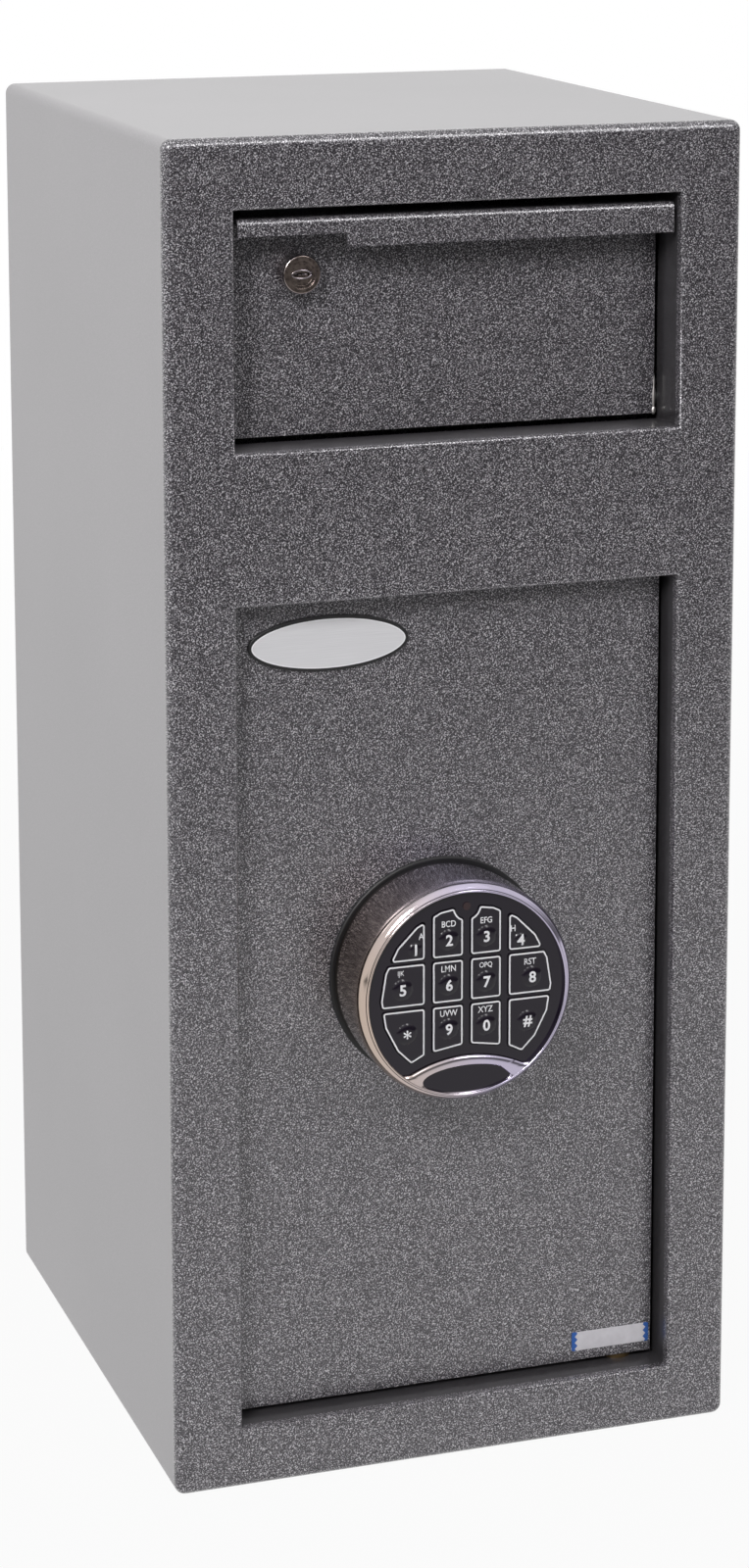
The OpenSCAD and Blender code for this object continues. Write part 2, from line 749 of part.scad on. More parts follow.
// The chrome shell: a drawn side, a round front rim, a ledge inside and the crescent below
module keypad_housing() {
  out = pad_d / 2;
  mouth = plate_d / 2 + 0.1;
  r = pad_rim_r;
  color([0.75, 0.72, 0.7]) difference() {
    union() {
      at_depth(pad_front) translate([pad_x, 0, pad_z]) rotate([-90, 0, 0]) rotate_extrude() {
        translate([out - pad_wall, r]) square([pad_wall, pad_rear - pad_front - r]);
        translate([mouth, r]) square([out - mouth, ledge_front - pad_front - r]);
        translate([mouth + r, 0]) square([max(out - mouth - 2 * r, 0.05), 2 * r]);
        for (x = [mouth + r, out - r]) translate([x, r]) circle(r);
        translate([ledge_r, ledge_front - pad_front]) square([out - ledge_r, mat_front - ledge_front]);
      }
      intersection() {
        bar_y(pad_x, pad_z, crescent_front, mat_front, 2 * mouth + 1);
        bar_y(pad_x, pad_z + crescent_z, crescent_front, ledge_front, 2 * crescent_r);
      }
    }
    plate_y(crescent_front - cut, ledge_front + cut) translate([pad_x, pad_z + inlay_z]) oval();
  }
}

module oval() {
  scale([inlay_w / 2, inlay_h / 2]) circle(1);
}

// The bare oval let into the crescent
module oval_inlay() {
  color([0.04, 0.04, 0.04]) plate_y(crescent_front + 0.5, ledge_front)
    translate([pad_x, pad_z + inlay_z]) oval();
}

// The disc that closes the housing behind, with the boss that the spindle is fixed in
module keypad_back() {
  color([0.1, 0.1, 0.1]) difference() {
    union() {
      bar_y(pad_x, pad_z, pad_back_front, pad_rear, pad_d - 2 * pad_wall);
      bar_y(pad_x, pad_z, pad_rear - cut, pad_rear + boss_len, boss_d);
    }
    bar_y(pad_x, pad_z, pad_back_front - cut, pad_rear + boss_len + cut, spindle_d);
  }
}

// Outline of one key about the keypad's axis, larger by grow all round.
// Columns count from 0 at the left and rows from 0 at the top.
module key_outline(col, row, grow) {
  mid_x = (col - 1.5) * key_dx;
  mid_z = row_z + (1 - row) * key_dz;
  outer = col == 0 || col == 3;
  inner_edge = 1.5 * key_dx - key_w / 2;
  x0 = col == 0 ? -key_field_r : col == 3 ? inner_edge : mid_x - key_w / 2;
  x1 = col == 0 ? -inner_edge : col == 3 ? key_field_r : mid_x + key_w / 2;
  z0 = row == 2 ? -key_field_r : mid_z - key_h / 2;
  z1 = row == 0 ? key_field_r : mid_z + key_h / 2;
  difference() {
    intersection() {
      translate([x0 - grow, z0 - grow]) square([x1 - x0 + 2 * grow, z1 - z0 + 2 * grow]);
      circle(key_field_r + grow);
    }
    translate([0, crescent_z]) circle(field_low_r - grow);
    if (row == 0 && !outer) translate([0, lamp_z]) circle(lamp_notch_r - grow);
  }
}

// The same outline with its corners rounded
module key_round(col, row, grow) {
  offset(r = key_corner, $fn = 20) offset(delta = -key_corner) key_outline(col, row, grow);
}

// The black plate in the housing's mouth, cut for the keys and the lamp
module key_plate() {
  color([0.06, 0.06, 0.07]) difference() {
    bar_y(pad_x, pad_z, plate_front, plate_front + plate_t, plate_d);
    bar_y(pad_x, pad_z + crescent_z, plate_front - cut, plate_front + plate_t + cut, 2 * crescent_r + 0.3);
    bar_y(pad_x, pad_z + lamp_z, plate_front - cut, plate_front + plate_t + cut, lamp_d);
    plate_y(plate_front - cut, plate_front + plate_t + cut) translate([pad_x, pad_z])
      for (col = [0 : 3], row = [0 : 2]) key_round(col, row, key_clear);
  }
}

// Where a key's dome sits; the corner keys' domes move in with their outline
function dome_place(col, row) =
  [(col - 1.5) * (col == 0 || col == 3 ? outer_dome_x[row] / 1.5 : key_dx),
    row_z + (1 - row) * key_dz + (row == 0 && (col == 0 || col == 3) ? -2.6 : 0.8)];

// A domed key that slides in the key plate, held from behind by its tabs
module key(col, row) {
  front = plate_front - key_proud;
  dome_r = (pow(dome_d / 2, 2) + pow(dome_h, 2)) / (2 * dome_h);
  dome = dome_place(col, row);
  color([0.08, 0.08, 0.09]) union() {
    plate_y(front, key_flange_front + key_flange_t) translate([pad_x, pad_z]) key_round(col, row, 0);
    plate_y(key_flange_front, key_flange_front + key_flange_t) translate([pad_x, pad_z])
      for (side = [-1, 1]) translate([side * key_tab, 0]) key_round(col, row, 0);
    intersection() {
      at_depth(front - dome_h + dome_r) translate([pad_x + dome[0], 0, pad_z + dome[1]]) sphere(dome_r);
      bar_y(pad_x + dome[0], pad_z + dome[1], front - dome_h - cut, front + 0.2, dome_d + 1);
    }
  }
}

module key_1() { key(0, 0); }
module key_2() { key(1, 0); }
module key_3() { key(2, 0); }
module key_4() { key(3, 0); }
module key_5() { key(0, 1); }
module key_6() { key(1, 1); }
module key_7() { key(2, 1); }
module key_8() { key(3, 1); }
module key_star() { key(0, 2); }
module key_9() { key(1, 2); }
module key_0() { key(2, 2); }
module key_hash() { key(3, 2); }

module keypad_led() {
  color("darkred") bar_y(pad_x, pad_z + lamp_z, plate_front - 0.3, mat_front, lamp_d);
}

// The rubber mat under the keys
module key_mat() {
  color([0.2, 0.2, 0.2]) bar_y(pad_x, pad_z, mat_front, mat_front + mat_t, 2 * board_r);
}

module circuit_board() {
  color("darkgreen") bar_y(pad_x, pad_z, mat_front + mat_t, board_rear, 2 * board_r);
}

// The nine-volt battery between the board and the back of the keypad
module battery() {
  top = pad_z - lead_d / 2 - 2;
  color("goldenrod") at_depth(pad_back_front - 0.2) translate([pad_x, 0, top - battery_h])
    rotate([90, 0, 0]) linear_extrude(battery_t) round_rect(battery_w, battery_h, 2);
}

// The hopper's bent front: a plate whose top folds forward and down into the handle lip
module hopper_front() {
  x0 = hop_l + hop_gap;
  x1 = hop_r - hop_gap;
  lip_d = hop_recess - lip_out;
  module flange(drop) {
    translate([lip_d, hop_head - drop]) square([hop_t, drop - hop_t]);
  }
  module bend(d, side) {
    translate([d, hop_head - hop_t]) intersection() {
      circle(hop_t);
      translate([side > 0 ? 0 : -hop_t, 0]) square(hop_t);
    }
  }
  color("dimgray") difference() {
    union() {
      section_x(x0, x1) {
        translate([hop_recess, hop_foot]) square([hop_t, hop_head - hop_t - hop_foot]);
        translate([lip_d + hop_t, hop_head - hop_t]) square([lip_out - hop_t, hop_t]);
        bend(hop_recess, 1);
        bend(lip_d + hop_t, -1);
      }
      section_x(x0, lip_step_x) flange(lip_drop_lock);
      section_x(lip_step_x, x1) flange(lip_drop);
    }
    bar_y(lock_x, lock_z, hop_recess - cut, hop_recess + hop_t + cut, lock_body_d);
  }
}

// A side of the hopper: a sector about the pivot, with an ear that stops the tilt
module cheek(x0) {
  back = hop_t - hop_pivot_back;
  low = hop_gap - hop_pivot_up;
  far = 2 * cheek_r;
  ear_a = atan2(hop_top - hop_pivot_z, hop_liner_d - hop_pivot_d) - hop_tilt - 0.6;
  ear_r = hop_top + liner_t + 2 - hop_pivot_z;
  color("gray") difference() {
    union() {
      intersection() {
        bar_x(x0, x0 + hop_t, hop_pivot_d, hop_pivot_z, 2 * cheek_r);
        section_x(x0 - cut, x0 + hop_t + cut) translate([hop_pivot_d, hop_pivot_z])
          polygon([[back, low], [back, far], [far, far], [far, low - (far - back) * tan(floor_slope)]]);
      }
      intersection() {
        bar_x(x0, x0 + hop_t, hop_pivot_d, hop_pivot_z, 2 * ear_r);
        section_x(x0, x0 + hop_t) translate([hop_pivot_d, hop_pivot_z])
          polygon([polar(cheek_r - 3, ear_a), polar(far, ear_a),
            polar(far, ear_a - 7), polar(cheek_r - 3, ear_a - 7)]);
      }
    }
    bar_x(x0 - cut, x0 + hop_t + cut, hop_pivot_d, hop_pivot_z, hop_pin_d + 2 * run_gap);
  }
}

module cheek_left() { cheek(hop_l + hop_gap); }

module cheek_right() { cheek(hop_r - hop_gap - hop_t); }

// The sloping floor between the cheeks, with a toothed rear edge
module hopper_floor() {
  x0 = hop_l + hop_gap + hop_t;
  x1 = hop_r - hop_gap - hop_t;
  rear = hop_recess + hop_t;
  end = floor_len - 1.5;
  color("gray") difference() {
    at_depth(rear) translate([0, 0, hop_pivot_z - floor_drop]) rotate([-floor_slope, 0, 0])
      linear_extrude(floor_t) polygon(concat([[x0, -2 * floor_t]],
        saw(x0, x1, end - tooth_h, tooth_h, tooth_pitch), [[x1, -2 * floor_t]]));
    slab(x0 - cut, x1 + cut, 0, rear, hop_open_z - 10, hop_pivot_z + 10);
  }
}

// The key lock's body: a chrome collar in front of the plate and a thread behind it
module lock_cylinder() {
  edge = 0.8;
  rim = 2;
  long = lock_rear - 4 - lock_front;
  color([0.8, 0.8, 0.8]) difference() {
    at_depth(lock_front) translate([lock_x, 0, lock_z]) rotate([-90, 0, 0]) rotate_extrude() {
      square([collar_d / 2 - edge, collar_out]);
      translate([0, edge]) square([collar_d / 2, collar_out - edge]);
      translate([collar_d / 2 - edge, edge]) circle(edge);
      square([lock_body_d / 2, long]);
    }
    bar_y(lock_x, lock_z, lock_front - cut, lock_rear, plug_d + 2 * run_gap);
    bar_y(lock_x, lock_z, lock_front - cut, lock_front + 0.6, collar_d - 2 * rim);
  }
}

module lock_nut() {
  d0 = hop_recess + hop_t;
  color("silver") difference() {
    at_depth(d0) translate([lock_x, 0, lock_z]) rotate([-90, 0, 0])
      cylinder(d = lock_body_d + 5, h = 3.5, $fn = 6);
    bar_y(lock_x, lock_z, d0 - cut, d0 + 3.5 + cut, lock_body_d);
  }
}

// The plug that the key turns, with a square tenon and a riveted head behind the cam
module lock_plug() {
  face = lock_front + 0.9;
  color([0.7, 0.7, 0.7]) difference() {
    union() {
      bar_y(lock_x, lock_z, face, lock_rear, plug_d);
      slab(lock_x - tenon / 2, lock_x + tenon / 2, lock_rear - cut, lock_rear + cam_t,
        lock_z - tenon / 2, lock_z + tenon / 2);
      bar_y(lock_x, lock_z, lock_rear + cam_t, lock_rear + cam_t + 1.5, plug_d + 1);
    }
    slab(lock_x - 2.8, lock_x + 2.8, face - cut, face + 9, lock_z - 0.5, lock_z + 0.5);
  }
}

// The cam, which lies level while the hopper is free and turns up behind the strike
module lock_cam() {
  arm_w = 9;
  tip_x = lock_x + cam_len - arm_w / 2;
  color("silver") difference() {
    union() {
      bar_y(lock_x, lock_z, lock_rear, lock_rear + cam_t, arm_w + 4);
      slab(lock_x, tip_x, lock_rear, lock_rear + cam_t, lock_z - arm_w / 2, lock_z + arm_w / 2);
      bar_y(tip_x, lock_z, lock_rear, lock_rear + cam_t, arm_w);
    }
    slab(lock_x - tenon / 2, lock_x + tenon / 2, lock_rear - cut, lock_rear + cam_t + cut,
      lock_z - tenon / 2, lock_z + tenon / 2);
  }
}

casing_wrap();
back_plate();
face_plate();
door_liner();
hopper_liner();
jamb_strips();
hinge_bushes();
hopper_side_left();
hopper_side_right();
upper_baffle();
cam_strike();
hopper_pivot_pins();
door_plate();
hinge_blocks();
hinge_pins();
dead_bar();
cover_posts();
door_cover();
cover_screws();
door_badge();
door_label();
lock_case();
lock_case_screws();
bolt_guides();
spindle_bush();
keypad_ring();
keypad_lead();
bolt_bar();
locking_bolts();
keypad_housing();
keypad_back();
key_plate();
oval_inlay();
keypad_led();
key_mat();
circuit_board();
battery();
spindle();
pinion();
spindle_nut();
key_1();
key_2();
key_3();
key_4();
key_5();
key_6();
key_7();
key_8();
key_star();
key_9();
key_0();
key_hash();
hopper_front();
cheek_left();
cheek_right();
hopper_floor();
lock_cylinder();
lock_nut();
lock_plug();
lock_cam();
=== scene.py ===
"""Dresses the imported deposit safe: hammered enamel, a chromed keypad with printed keys, a folded
hopper sheet, an oval plate and a foil label, on a white sweep under soft boxes."""

import math

import bmesh
import bpy
from mathutils import Matrix, Vector


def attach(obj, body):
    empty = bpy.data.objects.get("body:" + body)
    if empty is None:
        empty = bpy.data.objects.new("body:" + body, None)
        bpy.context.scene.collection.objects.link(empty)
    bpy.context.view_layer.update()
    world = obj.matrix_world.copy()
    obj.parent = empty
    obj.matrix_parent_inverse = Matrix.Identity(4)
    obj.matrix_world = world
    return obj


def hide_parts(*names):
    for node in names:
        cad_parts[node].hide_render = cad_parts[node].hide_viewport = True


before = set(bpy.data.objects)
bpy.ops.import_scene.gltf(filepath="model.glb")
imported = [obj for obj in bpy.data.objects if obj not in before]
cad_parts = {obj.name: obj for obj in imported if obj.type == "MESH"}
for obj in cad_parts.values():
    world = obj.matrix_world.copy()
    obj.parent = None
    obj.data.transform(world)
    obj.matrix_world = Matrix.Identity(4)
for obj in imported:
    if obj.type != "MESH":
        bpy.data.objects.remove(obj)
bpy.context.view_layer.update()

# CAMERA
# The photograph looks down on the safe from its front left with a long lens, whose frame is
# shifted a little so that the upright edges stay nearly parallel.
camera = bpy.data.objects.new("camera", bpy.data.cameras.new("camera"))
bpy.context.scene.collection.objects.link(camera)
bpy.context.scene.camera = camera
camera.location = (-0.46196, -1.37942, 0.64315)
camera.rotation_euler = [math.radians(turn) for turn in (80.2435, 0.0541, -18.8158)]
camera.data.lens = 85.95
camera.data.shift_y = -0.25

# CASING AND FRONT PLATE
# Bent 3 mm sheet steel, closed by a 4 mm front plate whose outer edge is ground round. Both are
# sprayed with grey hammer-finish enamel and stoved; the front plate has the heaviest coat.
FRONT = -119.0  # the front plane, in millimetres; every depth below is measured behind it
PLATE_HALF_WIDE, PLATE_HIGH, PLATE_THICK = 111, 508, 4
CORNER_R, OUTLINE_ROUND, OPENING_ROUND = 4, 3.2, 1.5
MARGIN = 6  # the openings lie farther in from the plate's outline than this
OPENING_LEFT, OPENING_RIGHT = -85, 87
DOOR_OPENING, HOPPER_OPENING = (23.2, 337.7), (394.4, 481.9)  # the foot and head of each


def linear(code):
    """An sRGB colour such as #7b797c, as the linear colour that Blender works in."""
    parts = [int(code[i : i + 2], 16) / 255 for i in (1, 3, 5)]
    return [*(p / 12.92 if p <= 0.04045 else ((p + 0.055) / 1.055) ** 2.4 for p in parts), 1]


def add_node(tree, kind, inputs=None, stops=None, **settings):
    """Adds a node with its settings, its ramp's stops and its inputs; a socket given as an input
    is linked."""
    made = tree.nodes.new(kind)
    for name, value in settings.items():
        setattr(made, name, value)
    for i, (at, code) in enumerate(stops or []):
        stop = made.color_ramp.elements[i] if i < 2 else made.color_ramp.elements.new(at)
        stop.position, stop.color = at, linear(code)
    for name, value in (inputs or {}).items():
        if isinstance(value, bpy.types.NodeSocket):
            tree.links.new(value, made.inputs[name])
        else:
            made.inputs[name].default_value = value
    return made


def new_finish(name):
    """An empty material, with its tree and the place on the object in metres."""
    made = bpy.data.materials.new(name)
    made.use_nodes = True
    made.node_tree.nodes.clear()
    return made, made.node_tree, add_node(made.node_tree, "ShaderNodeTexCoord").outputs["Object"]


def hammer_finish(name, colours, relief_mm, metallic, shine):
    """Grey hammer-finish enamel: silicone draws the wet coat into cells 1.1 mm across, the
    aluminium flake gathers in pale worms between dark dimples, and the clear top of the coat
    sparkles. The four colours go from dimple to worm."""
    made, tree, place = new_finish(name)
    # turned, so that no face of the safe lies along the noise's own grid, where it is weak
    turned = add_node(tree, "ShaderNodeMapping", {"Vector": place, "Rotation": (0.6, 0.4, 0.5)})
    # noise at 2000 to the metre leaves its worms about 1.1 mm apart
    cells = add_node(tree, "ShaderNodeTexNoise", {
        "Vector": turned.outputs["Vector"], "Scale": 2000, "Detail": 1.0, "Roughness": 0.5,
        "Distortion": 0.2})
    flake = add_node(tree, "ShaderNodeValToRGB", {"Fac": cells.outputs["Fac"]},
                     list(zip((0.36, 0.46, 0.56, 0.68), colours)))
    # the coat's thickness drifts slowly, over about 110 mm
    drift = add_node(tree, "ShaderNodeTexNoise", {"Vector": place, "Scale": 9, "Detail": 2})
    tone = add_node(tree, "ShaderNodeMix", {
        "Factor": drift.outputs["Fac"], "A": linear("#f0f0f0"), "B": linear("#ffffff")},
        data_type="RGBA")
    colour = add_node(tree, "ShaderNodeMix", {
        "Factor": 1.0, "A": flake.outputs["Color"], "B": tone.outputs["Result"]},
        data_type="RGBA", blend_type="MULTIPLY")
    gloss = add_node(tree, "ShaderNodeMapRange", {
        "Value": cells.outputs["Fac"], "From Min": 0.35, "From Max": 0.7, "To Min": 0.3,
        "To Max": 0.46})
    relief = add_node(tree, "ShaderNodeBump", {
        "Height": cells.outputs["Fac"], "Strength": 1.0, "Distance": relief_mm / 1000})
    paint = add_node(tree, "ShaderNodeBsdfPrincipled", {
        "Base Color": colour.outputs["Result"], "Metallic": metallic,
        "Roughness": gloss.outputs["Result"], "Normal": relief.outputs["Normal"],
        "Coat Normal": relief.outputs["Normal"], "Coat Weight": shine, "Coat Roughness": 0.12})
    add_node(tree, "ShaderNodeOutputMaterial", {"Surface": paint.outputs["BSDF"]})
    return made


def slab(shape, x0, x1, d0, d1, z0, z1):
    """Adds a box to a shape, given in millimetres across, by depth and by height."""
    middle = ((x0 + x1) / 2, FRONT + (d0 + d1) / 2, (z0 + z1) / 2)
    place = Matrix.Translation(middle) @ Matrix.Diagonal((x1 - x0, d1 - d0, z1 - z0, 1))
    return bmesh.ops.create_cube(shape, size=1, matrix=place)["verts"]


def round_edges(shape, edges, radius, segments):
    """Rounds the edges of a shape."""
    bmesh.ops.bevel(shape, geom=edges, offset=radius, offset_type="OFFSET", segments=segments,
                    profile=0.5, affect="EDGES", material=-1, clamp_overlap=True)


def deep_edges(shape):
    """The edges of a plate that run from its front to its back."""
    return [e for e in shape.edges if abs(e.verts[0].co.y - e.verts[1].co.y) > 0.1]


def sharp_edges(shape, turn=35):
    """The edges at which a shape turns by more than an angle in degrees."""
    return [e for e in shape.edges
            if len(e.link_faces) == 2 and e.calc_face_angle(0) > math.radians(turn)]


def make_piece(name, shape, body, finishes, slot, *nodes):
    """Turns a shape in millimetres into a piece that rides on a body, and may stand for CAD
    nodes."""
    bmesh.ops.scale(shape, vec=(0.001, 0.001, 0.001), verts=shape.verts)
    mesh = bpy.data.meshes.new(name)
    shape.to_mesh(mesh)
    shape.free()
    for made in finishes:
        mesh.materials.append(made)
    mesh.shade_smooth()
    mesh.set_sharp_from_angle(angle=math.radians(40))
    piece = bpy.data.objects.new(name, mesh)
    bpy.context.scene.collection.objects.link(piece)
    evened = piece.modifiers.new("even_shading", "WEIGHTED_NORMAL")
    evened.keep_sharp = True
    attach(piece, body)
    if nodes:
        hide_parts(*nodes)


def dress(made, *nodes):
    """Gives CAD nodes whose shape is right a finish."""
    for name in nodes:
        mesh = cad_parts[name].data
        mesh.materials.clear()
        mesh.materials.append(made)


# the front takes the heavy coat that hammers well, and the wrap's coat is thin and smoother; its
# paler colour is painted light on the sides and top, and the liners' darker colour is painted
# shade inside the openings
enamel = hammer_finish(
    "hammer_finish_enamel", ("#242127", "#434045", "#6a666c", "#d8d5da"),
    relief_mm=0.06, metallic=0.4, shine=1.0)
painted_lit_enamel = hammer_finish(
    "hammer_finish_enamel_painted_lit", ("#9d9a9d", "#a5a2a5", "#aaa7aa", "#b6b3b6"),
    relief_mm=0.012, metallic=0.2, shine=0.3)
painted_shade_enamel = hammer_finish(
    "hammer_finish_enamel_painted_shade", ("#323033", "#393739", "#413f42", "#545255"),
    relief_mm=0.02, metallic=0.1, shine=0.4)
dress(painted_lit_enamel, "casing_wrap", "back_plate")
dress(painted_shade_enamel, "door_liner", "hopper_liner")
dress(enamel, "jamb_strips", "hopper_side_left", "hopper_side_right", "upper_baffle")

plate = bmesh.new()
slab(plate, -PLATE_HALF_WIDE, PLATE_HALF_WIDE, 0, PLATE_THICK, 0, PLATE_HIGH)
round_edges(plate, deep_edges(plate), CORNER_R, 6)
cuts = [((x, 0, 0), (1, 0, 0)) for x in (OPENING_LEFT, OPENING_RIGHT)]
cuts += [((0, 0, z), (0, 0, 1)) for z in DOOR_OPENING + HOPPER_OPENING]
for at, normal in cuts:
    bmesh.ops.bisect_plane(plate, geom=plate.verts[:] + plate.edges[:] + plate.faces[:],
                           plane_co=at, plane_no=normal)
for foot, head in (DOOR_OPENING, HOPPER_OPENING):
    panes = [f for f in plate.faces if abs(f.normal.y) > 0.5
             and OPENING_LEFT < f.calc_center_median().x < OPENING_RIGHT
             and foot < f.calc_center_median().z < head]
    bmesh.ops.delete(plate, geom=panes, context="FACES")
    bmesh.ops.bridge_loops(plate, edges=[e for e in plate.edges if e.is_boundary])
bmesh.ops.recalc_face_normals(plate, faces=plate.faces)


def front_rims(outline):
    """The plate's sharp edges in the front plane: its outline, or else those of its openings."""
    rims = [e for e in sharp_edges(plate) if all(abs(v.co.y - FRONT) < 0.01 for v in e.verts)]
    return [e for e in rims if outline == any(
        abs(v.co.x) > PLATE_HALF_WIDE - MARGIN or not MARGIN < v.co.z < PLATE_HIGH - MARGIN
        for v in e.verts)]


round_edges(plate, front_rims(outline=False), OPENING_ROUND, 5)
round_edges(plate, front_rims(outline=True), OUTLINE_ROUND, 6)
make_piece("front_plate", plate, "casing", [enamel], "hammertone_paint", "face_plate")

# DOOR
# A 5 mm steel plate with broken edges, sprayed with the front plate's coat. Two hinge blocks carry
# it, and a cranked bar behind its hinge side holds it should they be cut.
DOOR_FACE = 12.5  # the depth of its front


def merged_copy(node):
    """A copy of a CAD node in millimetres, with its doubles merged."""
    shape = bmesh.new()
    shape.from_mesh(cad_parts[node].data)
    bmesh.ops.scale(shape, vec=(1000, 1000, 1000), verts=shape.verts)
    bmesh.ops.remove_doubles(shape, verts=shape.verts, dist=0.002)
    return shape


def join_flats(shape):
    """Dissolves the edges and points that lie within a flat face or a straight edge."""
    bmesh.ops.dissolve_limit(shape, angle_limit=math.radians(0.5), verts=shape.verts,
                             edges=shape.edges)


def eased(node, radius, segments):
    """A merged copy of a CAD node with its sharp edges taken off."""
    shape = merged_copy(node)
    join_flats(shape)
    round_edges(shape, sharp_edges(shape), radius, segments)
    return shape


door = eased("door_plate", 0.6, 3)
make_piece("door_panel", door, "door", [enamel], "hammertone_paint", "door_plate")
dress(enamel, "hinge_blocks", "dead_bar")

# OVAL PLATE AND LABEL
# A stamped oval aluminium plate glued to the door: a black edge, a white line and a satin
# silver field, left bare. The small foil label below it has blue toothed ends, and is bare too.
OVAL_X, OVAL_Z = -46.6, 319.6
OVAL_HALF_WIDE, OVAL_HALF_HIGH, OVAL_THICK, OVAL_EASE = 31, 10.5, 1.2, 0.35
BLACK_EDGE, WHITE_LINE = 0.9, 0.45
LABEL_LEFT, LABEL_RIGHT, LABEL_FOOT, LABEL_HEAD = 52, 84, 29.2, 36.7
LABEL_FACE = 12.1  # its depth, 0.4 in front of the door
LABEL_CORNER_R, LABEL_EASE = 0.5, 0.12


def satin_plate():
    """Rolled aluminium with a satin clear coat: silver grey, with faint rolling lines that are
    drawn 0.2 mm apart so that they show."""
    made, tree, place = new_finish("satin_aluminium_plate")
    stretch = add_node(tree, "ShaderNodeMapping", {"Vector": place, "Scale": (60, 1, 5000)})
    grain = add_node(tree, "ShaderNodeTexNoise", {
        "Vector": stretch.outputs["Vector"], "Scale": 1, "Detail": 2})
    colour = add_node(tree, "ShaderNodeValToRGB", {"Fac": grain.outputs["Fac"]},
                      [(0.3, "#dad9dc"), (0.7, "#e3e2e5")])
    metal = add_node(tree, "ShaderNodeBsdfPrincipled", {
        "Base Color": colour.outputs["Color"], "Metallic": 0.1, "Roughness": 0.42})
    add_node(tree, "ShaderNodeOutputMaterial", {"Surface": metal.outputs["BSDF"]})
    return made


def print_ink(name, code, rough):
    """Screen-printed ink, slightly uneven in gloss where the film is thinner."""
    made, tree, place = new_finish(name)
    uneven = add_node(tree, "ShaderNodeTexNoise", {"Vector": place, "Scale": 1500, "Detail": 2})
    gloss = add_node(tree, "ShaderNodeMapRange", {
        "Value": uneven.outputs["Fac"], "To Min": rough - 0.1, "To Max": rough + 0.1})
    ink = add_node(tree, "ShaderNodeBsdfPrincipled", {
        "Base Color": linear(code), "Roughness": gloss.outputs["Result"]})
    add_node(tree, "ShaderNodeOutputMaterial", {"Surface": ink.outputs["BSDF"]})
    return made


def printed_foil():
    """Tamper-evident polyester foil, metallised: pale silver, with a blue end strip whose inner
    edge is cut in teeth 2.5 mm apart."""
    made, tree, place = new_finish("printed_polyester_foil")
    # in metres: the label's middle, half a tooth, and where the blue begins between the teeth
    middle, half_tooth, blue_from = (LABEL_LEFT + LABEL_RIGHT) / 2000, 0.00125, 0.0148
    at = add_node(tree, "ShaderNodeSeparateXYZ", {0: place})
    across = add_node(tree, "ShaderNodeMath", {0: at.outputs["X"], 1: middle},
                      operation="SUBTRACT")
    off_middle = add_node(tree, "ShaderNodeMath", {0: across.outputs[0]}, operation="ABSOLUTE")
    teeth = add_node(tree, "ShaderNodeMath", {0: at.outputs["Z"], 1: half_tooth},
                     operation="PINGPONG")
    reach = add_node(tree, "ShaderNodeMath", {
        0: teeth.outputs[0], 1: 0.9, 2: off_middle.outputs[0]}, operation="MULTIPLY_ADD")
    end_strip = add_node(tree, "ShaderNodeMath", {0: reach.outputs[0], 1: blue_from},
                         operation="GREATER_THAN")
    cloud = add_node(tree, "ShaderNodeTexNoise", {"Vector": place, "Scale": 300, "Detail": 2})
    silver = add_node(tree, "ShaderNodeValToRGB", {"Fac": cloud.outputs["Fac"]},
                      [(0.3, "#cfccd2"), (0.7, "#dbd8de")])
    colour = add_node(tree, "ShaderNodeMix", {
        "Factor": end_strip.outputs[0], "A": silver.outputs["Color"], "B": linear("#2c5fae")},
        data_type="RGBA")
    gloss = add_node(tree, "ShaderNodeMapRange", {
        "Value": cloud.outputs["Fac"], "To Min": 0.3, "To Max": 0.5})
    foil = add_node(tree, "ShaderNodeBsdfPrincipled", {
        "Base Color": colour.outputs["Result"], "Metallic": 0.2,
        "Roughness": gloss.outputs["Result"]})
    add_node(tree, "ShaderNodeOutputMaterial", {"Surface": foil.outputs["BSDF"]})
    return made


def move(shape, geom, by):
    """Moves the vertices in what an operator returned."""
    bmesh.ops.translate(shape, vec=by,
                        verts=[v for v in geom if isinstance(v, bmesh.types.BMVert)])


def front_face(shape):
    """The largest face that looks to the front."""
    return max((f for f in shape.faces if f.normal.y < -0.9), key=lambda f: f.calc_area())


black_ink = print_ink("black_print", "#161517", 0.4)
white_ink = print_ink("white_print", "#f2f1f4", 0.45)

oval = bmesh.new()
bmesh.ops.create_circle(
    oval, cap_ends=True, radius=1, segments=96,
    matrix=Matrix.Translation((OVAL_X, FRONT + DOOR_FACE, OVAL_Z))
    @ Matrix.Rotation(math.radians(90), 4, "X")
    @ Matrix.Diagonal((OVAL_HALF_WIDE, OVAL_HALF_HIGH, 1, 1)))
raised = bmesh.ops.extrude_face_region(oval, geom=oval.faces[:], use_keep_orig=True)["geom"]
move(oval, raised, (0, -OVAL_THICK, 0))
bmesh.ops.recalc_face_normals(oval, faces=oval.faces)
round_edges(oval, front_face(oval).edges[:], OVAL_EASE, 3)
field = front_face(oval)
bmesh.ops.inset_region(oval, faces=[field], thickness=BLACK_EDGE, use_even_offset=True)
line = bmesh.ops.inset_region(oval, faces=[field], thickness=WHITE_LINE, use_even_offset=True)
for f in line["faces"]:
    f.material_index = 1
field.material_index = 2
make_piece("oval_plate", oval, "door", [black_ink, white_ink, satin_plate()], "badge_metal",
           "door_badge")

label = bmesh.new()
slab(label, LABEL_LEFT, LABEL_RIGHT, LABEL_FACE, DOOR_FACE, LABEL_FOOT, LABEL_HEAD)
round_edges(label, deep_edges(label), LABEL_CORNER_R, 3)
rim = [e for e in sharp_edges(label) if all(v.co.y < FRONT + LABEL_FACE + 0.1 for v in e.verts)]
round_edges(label, rim, LABEL_EASE, 2)
make_piece("foil_label", label, "door", [printed_foil()], "label_foil", "door_label")

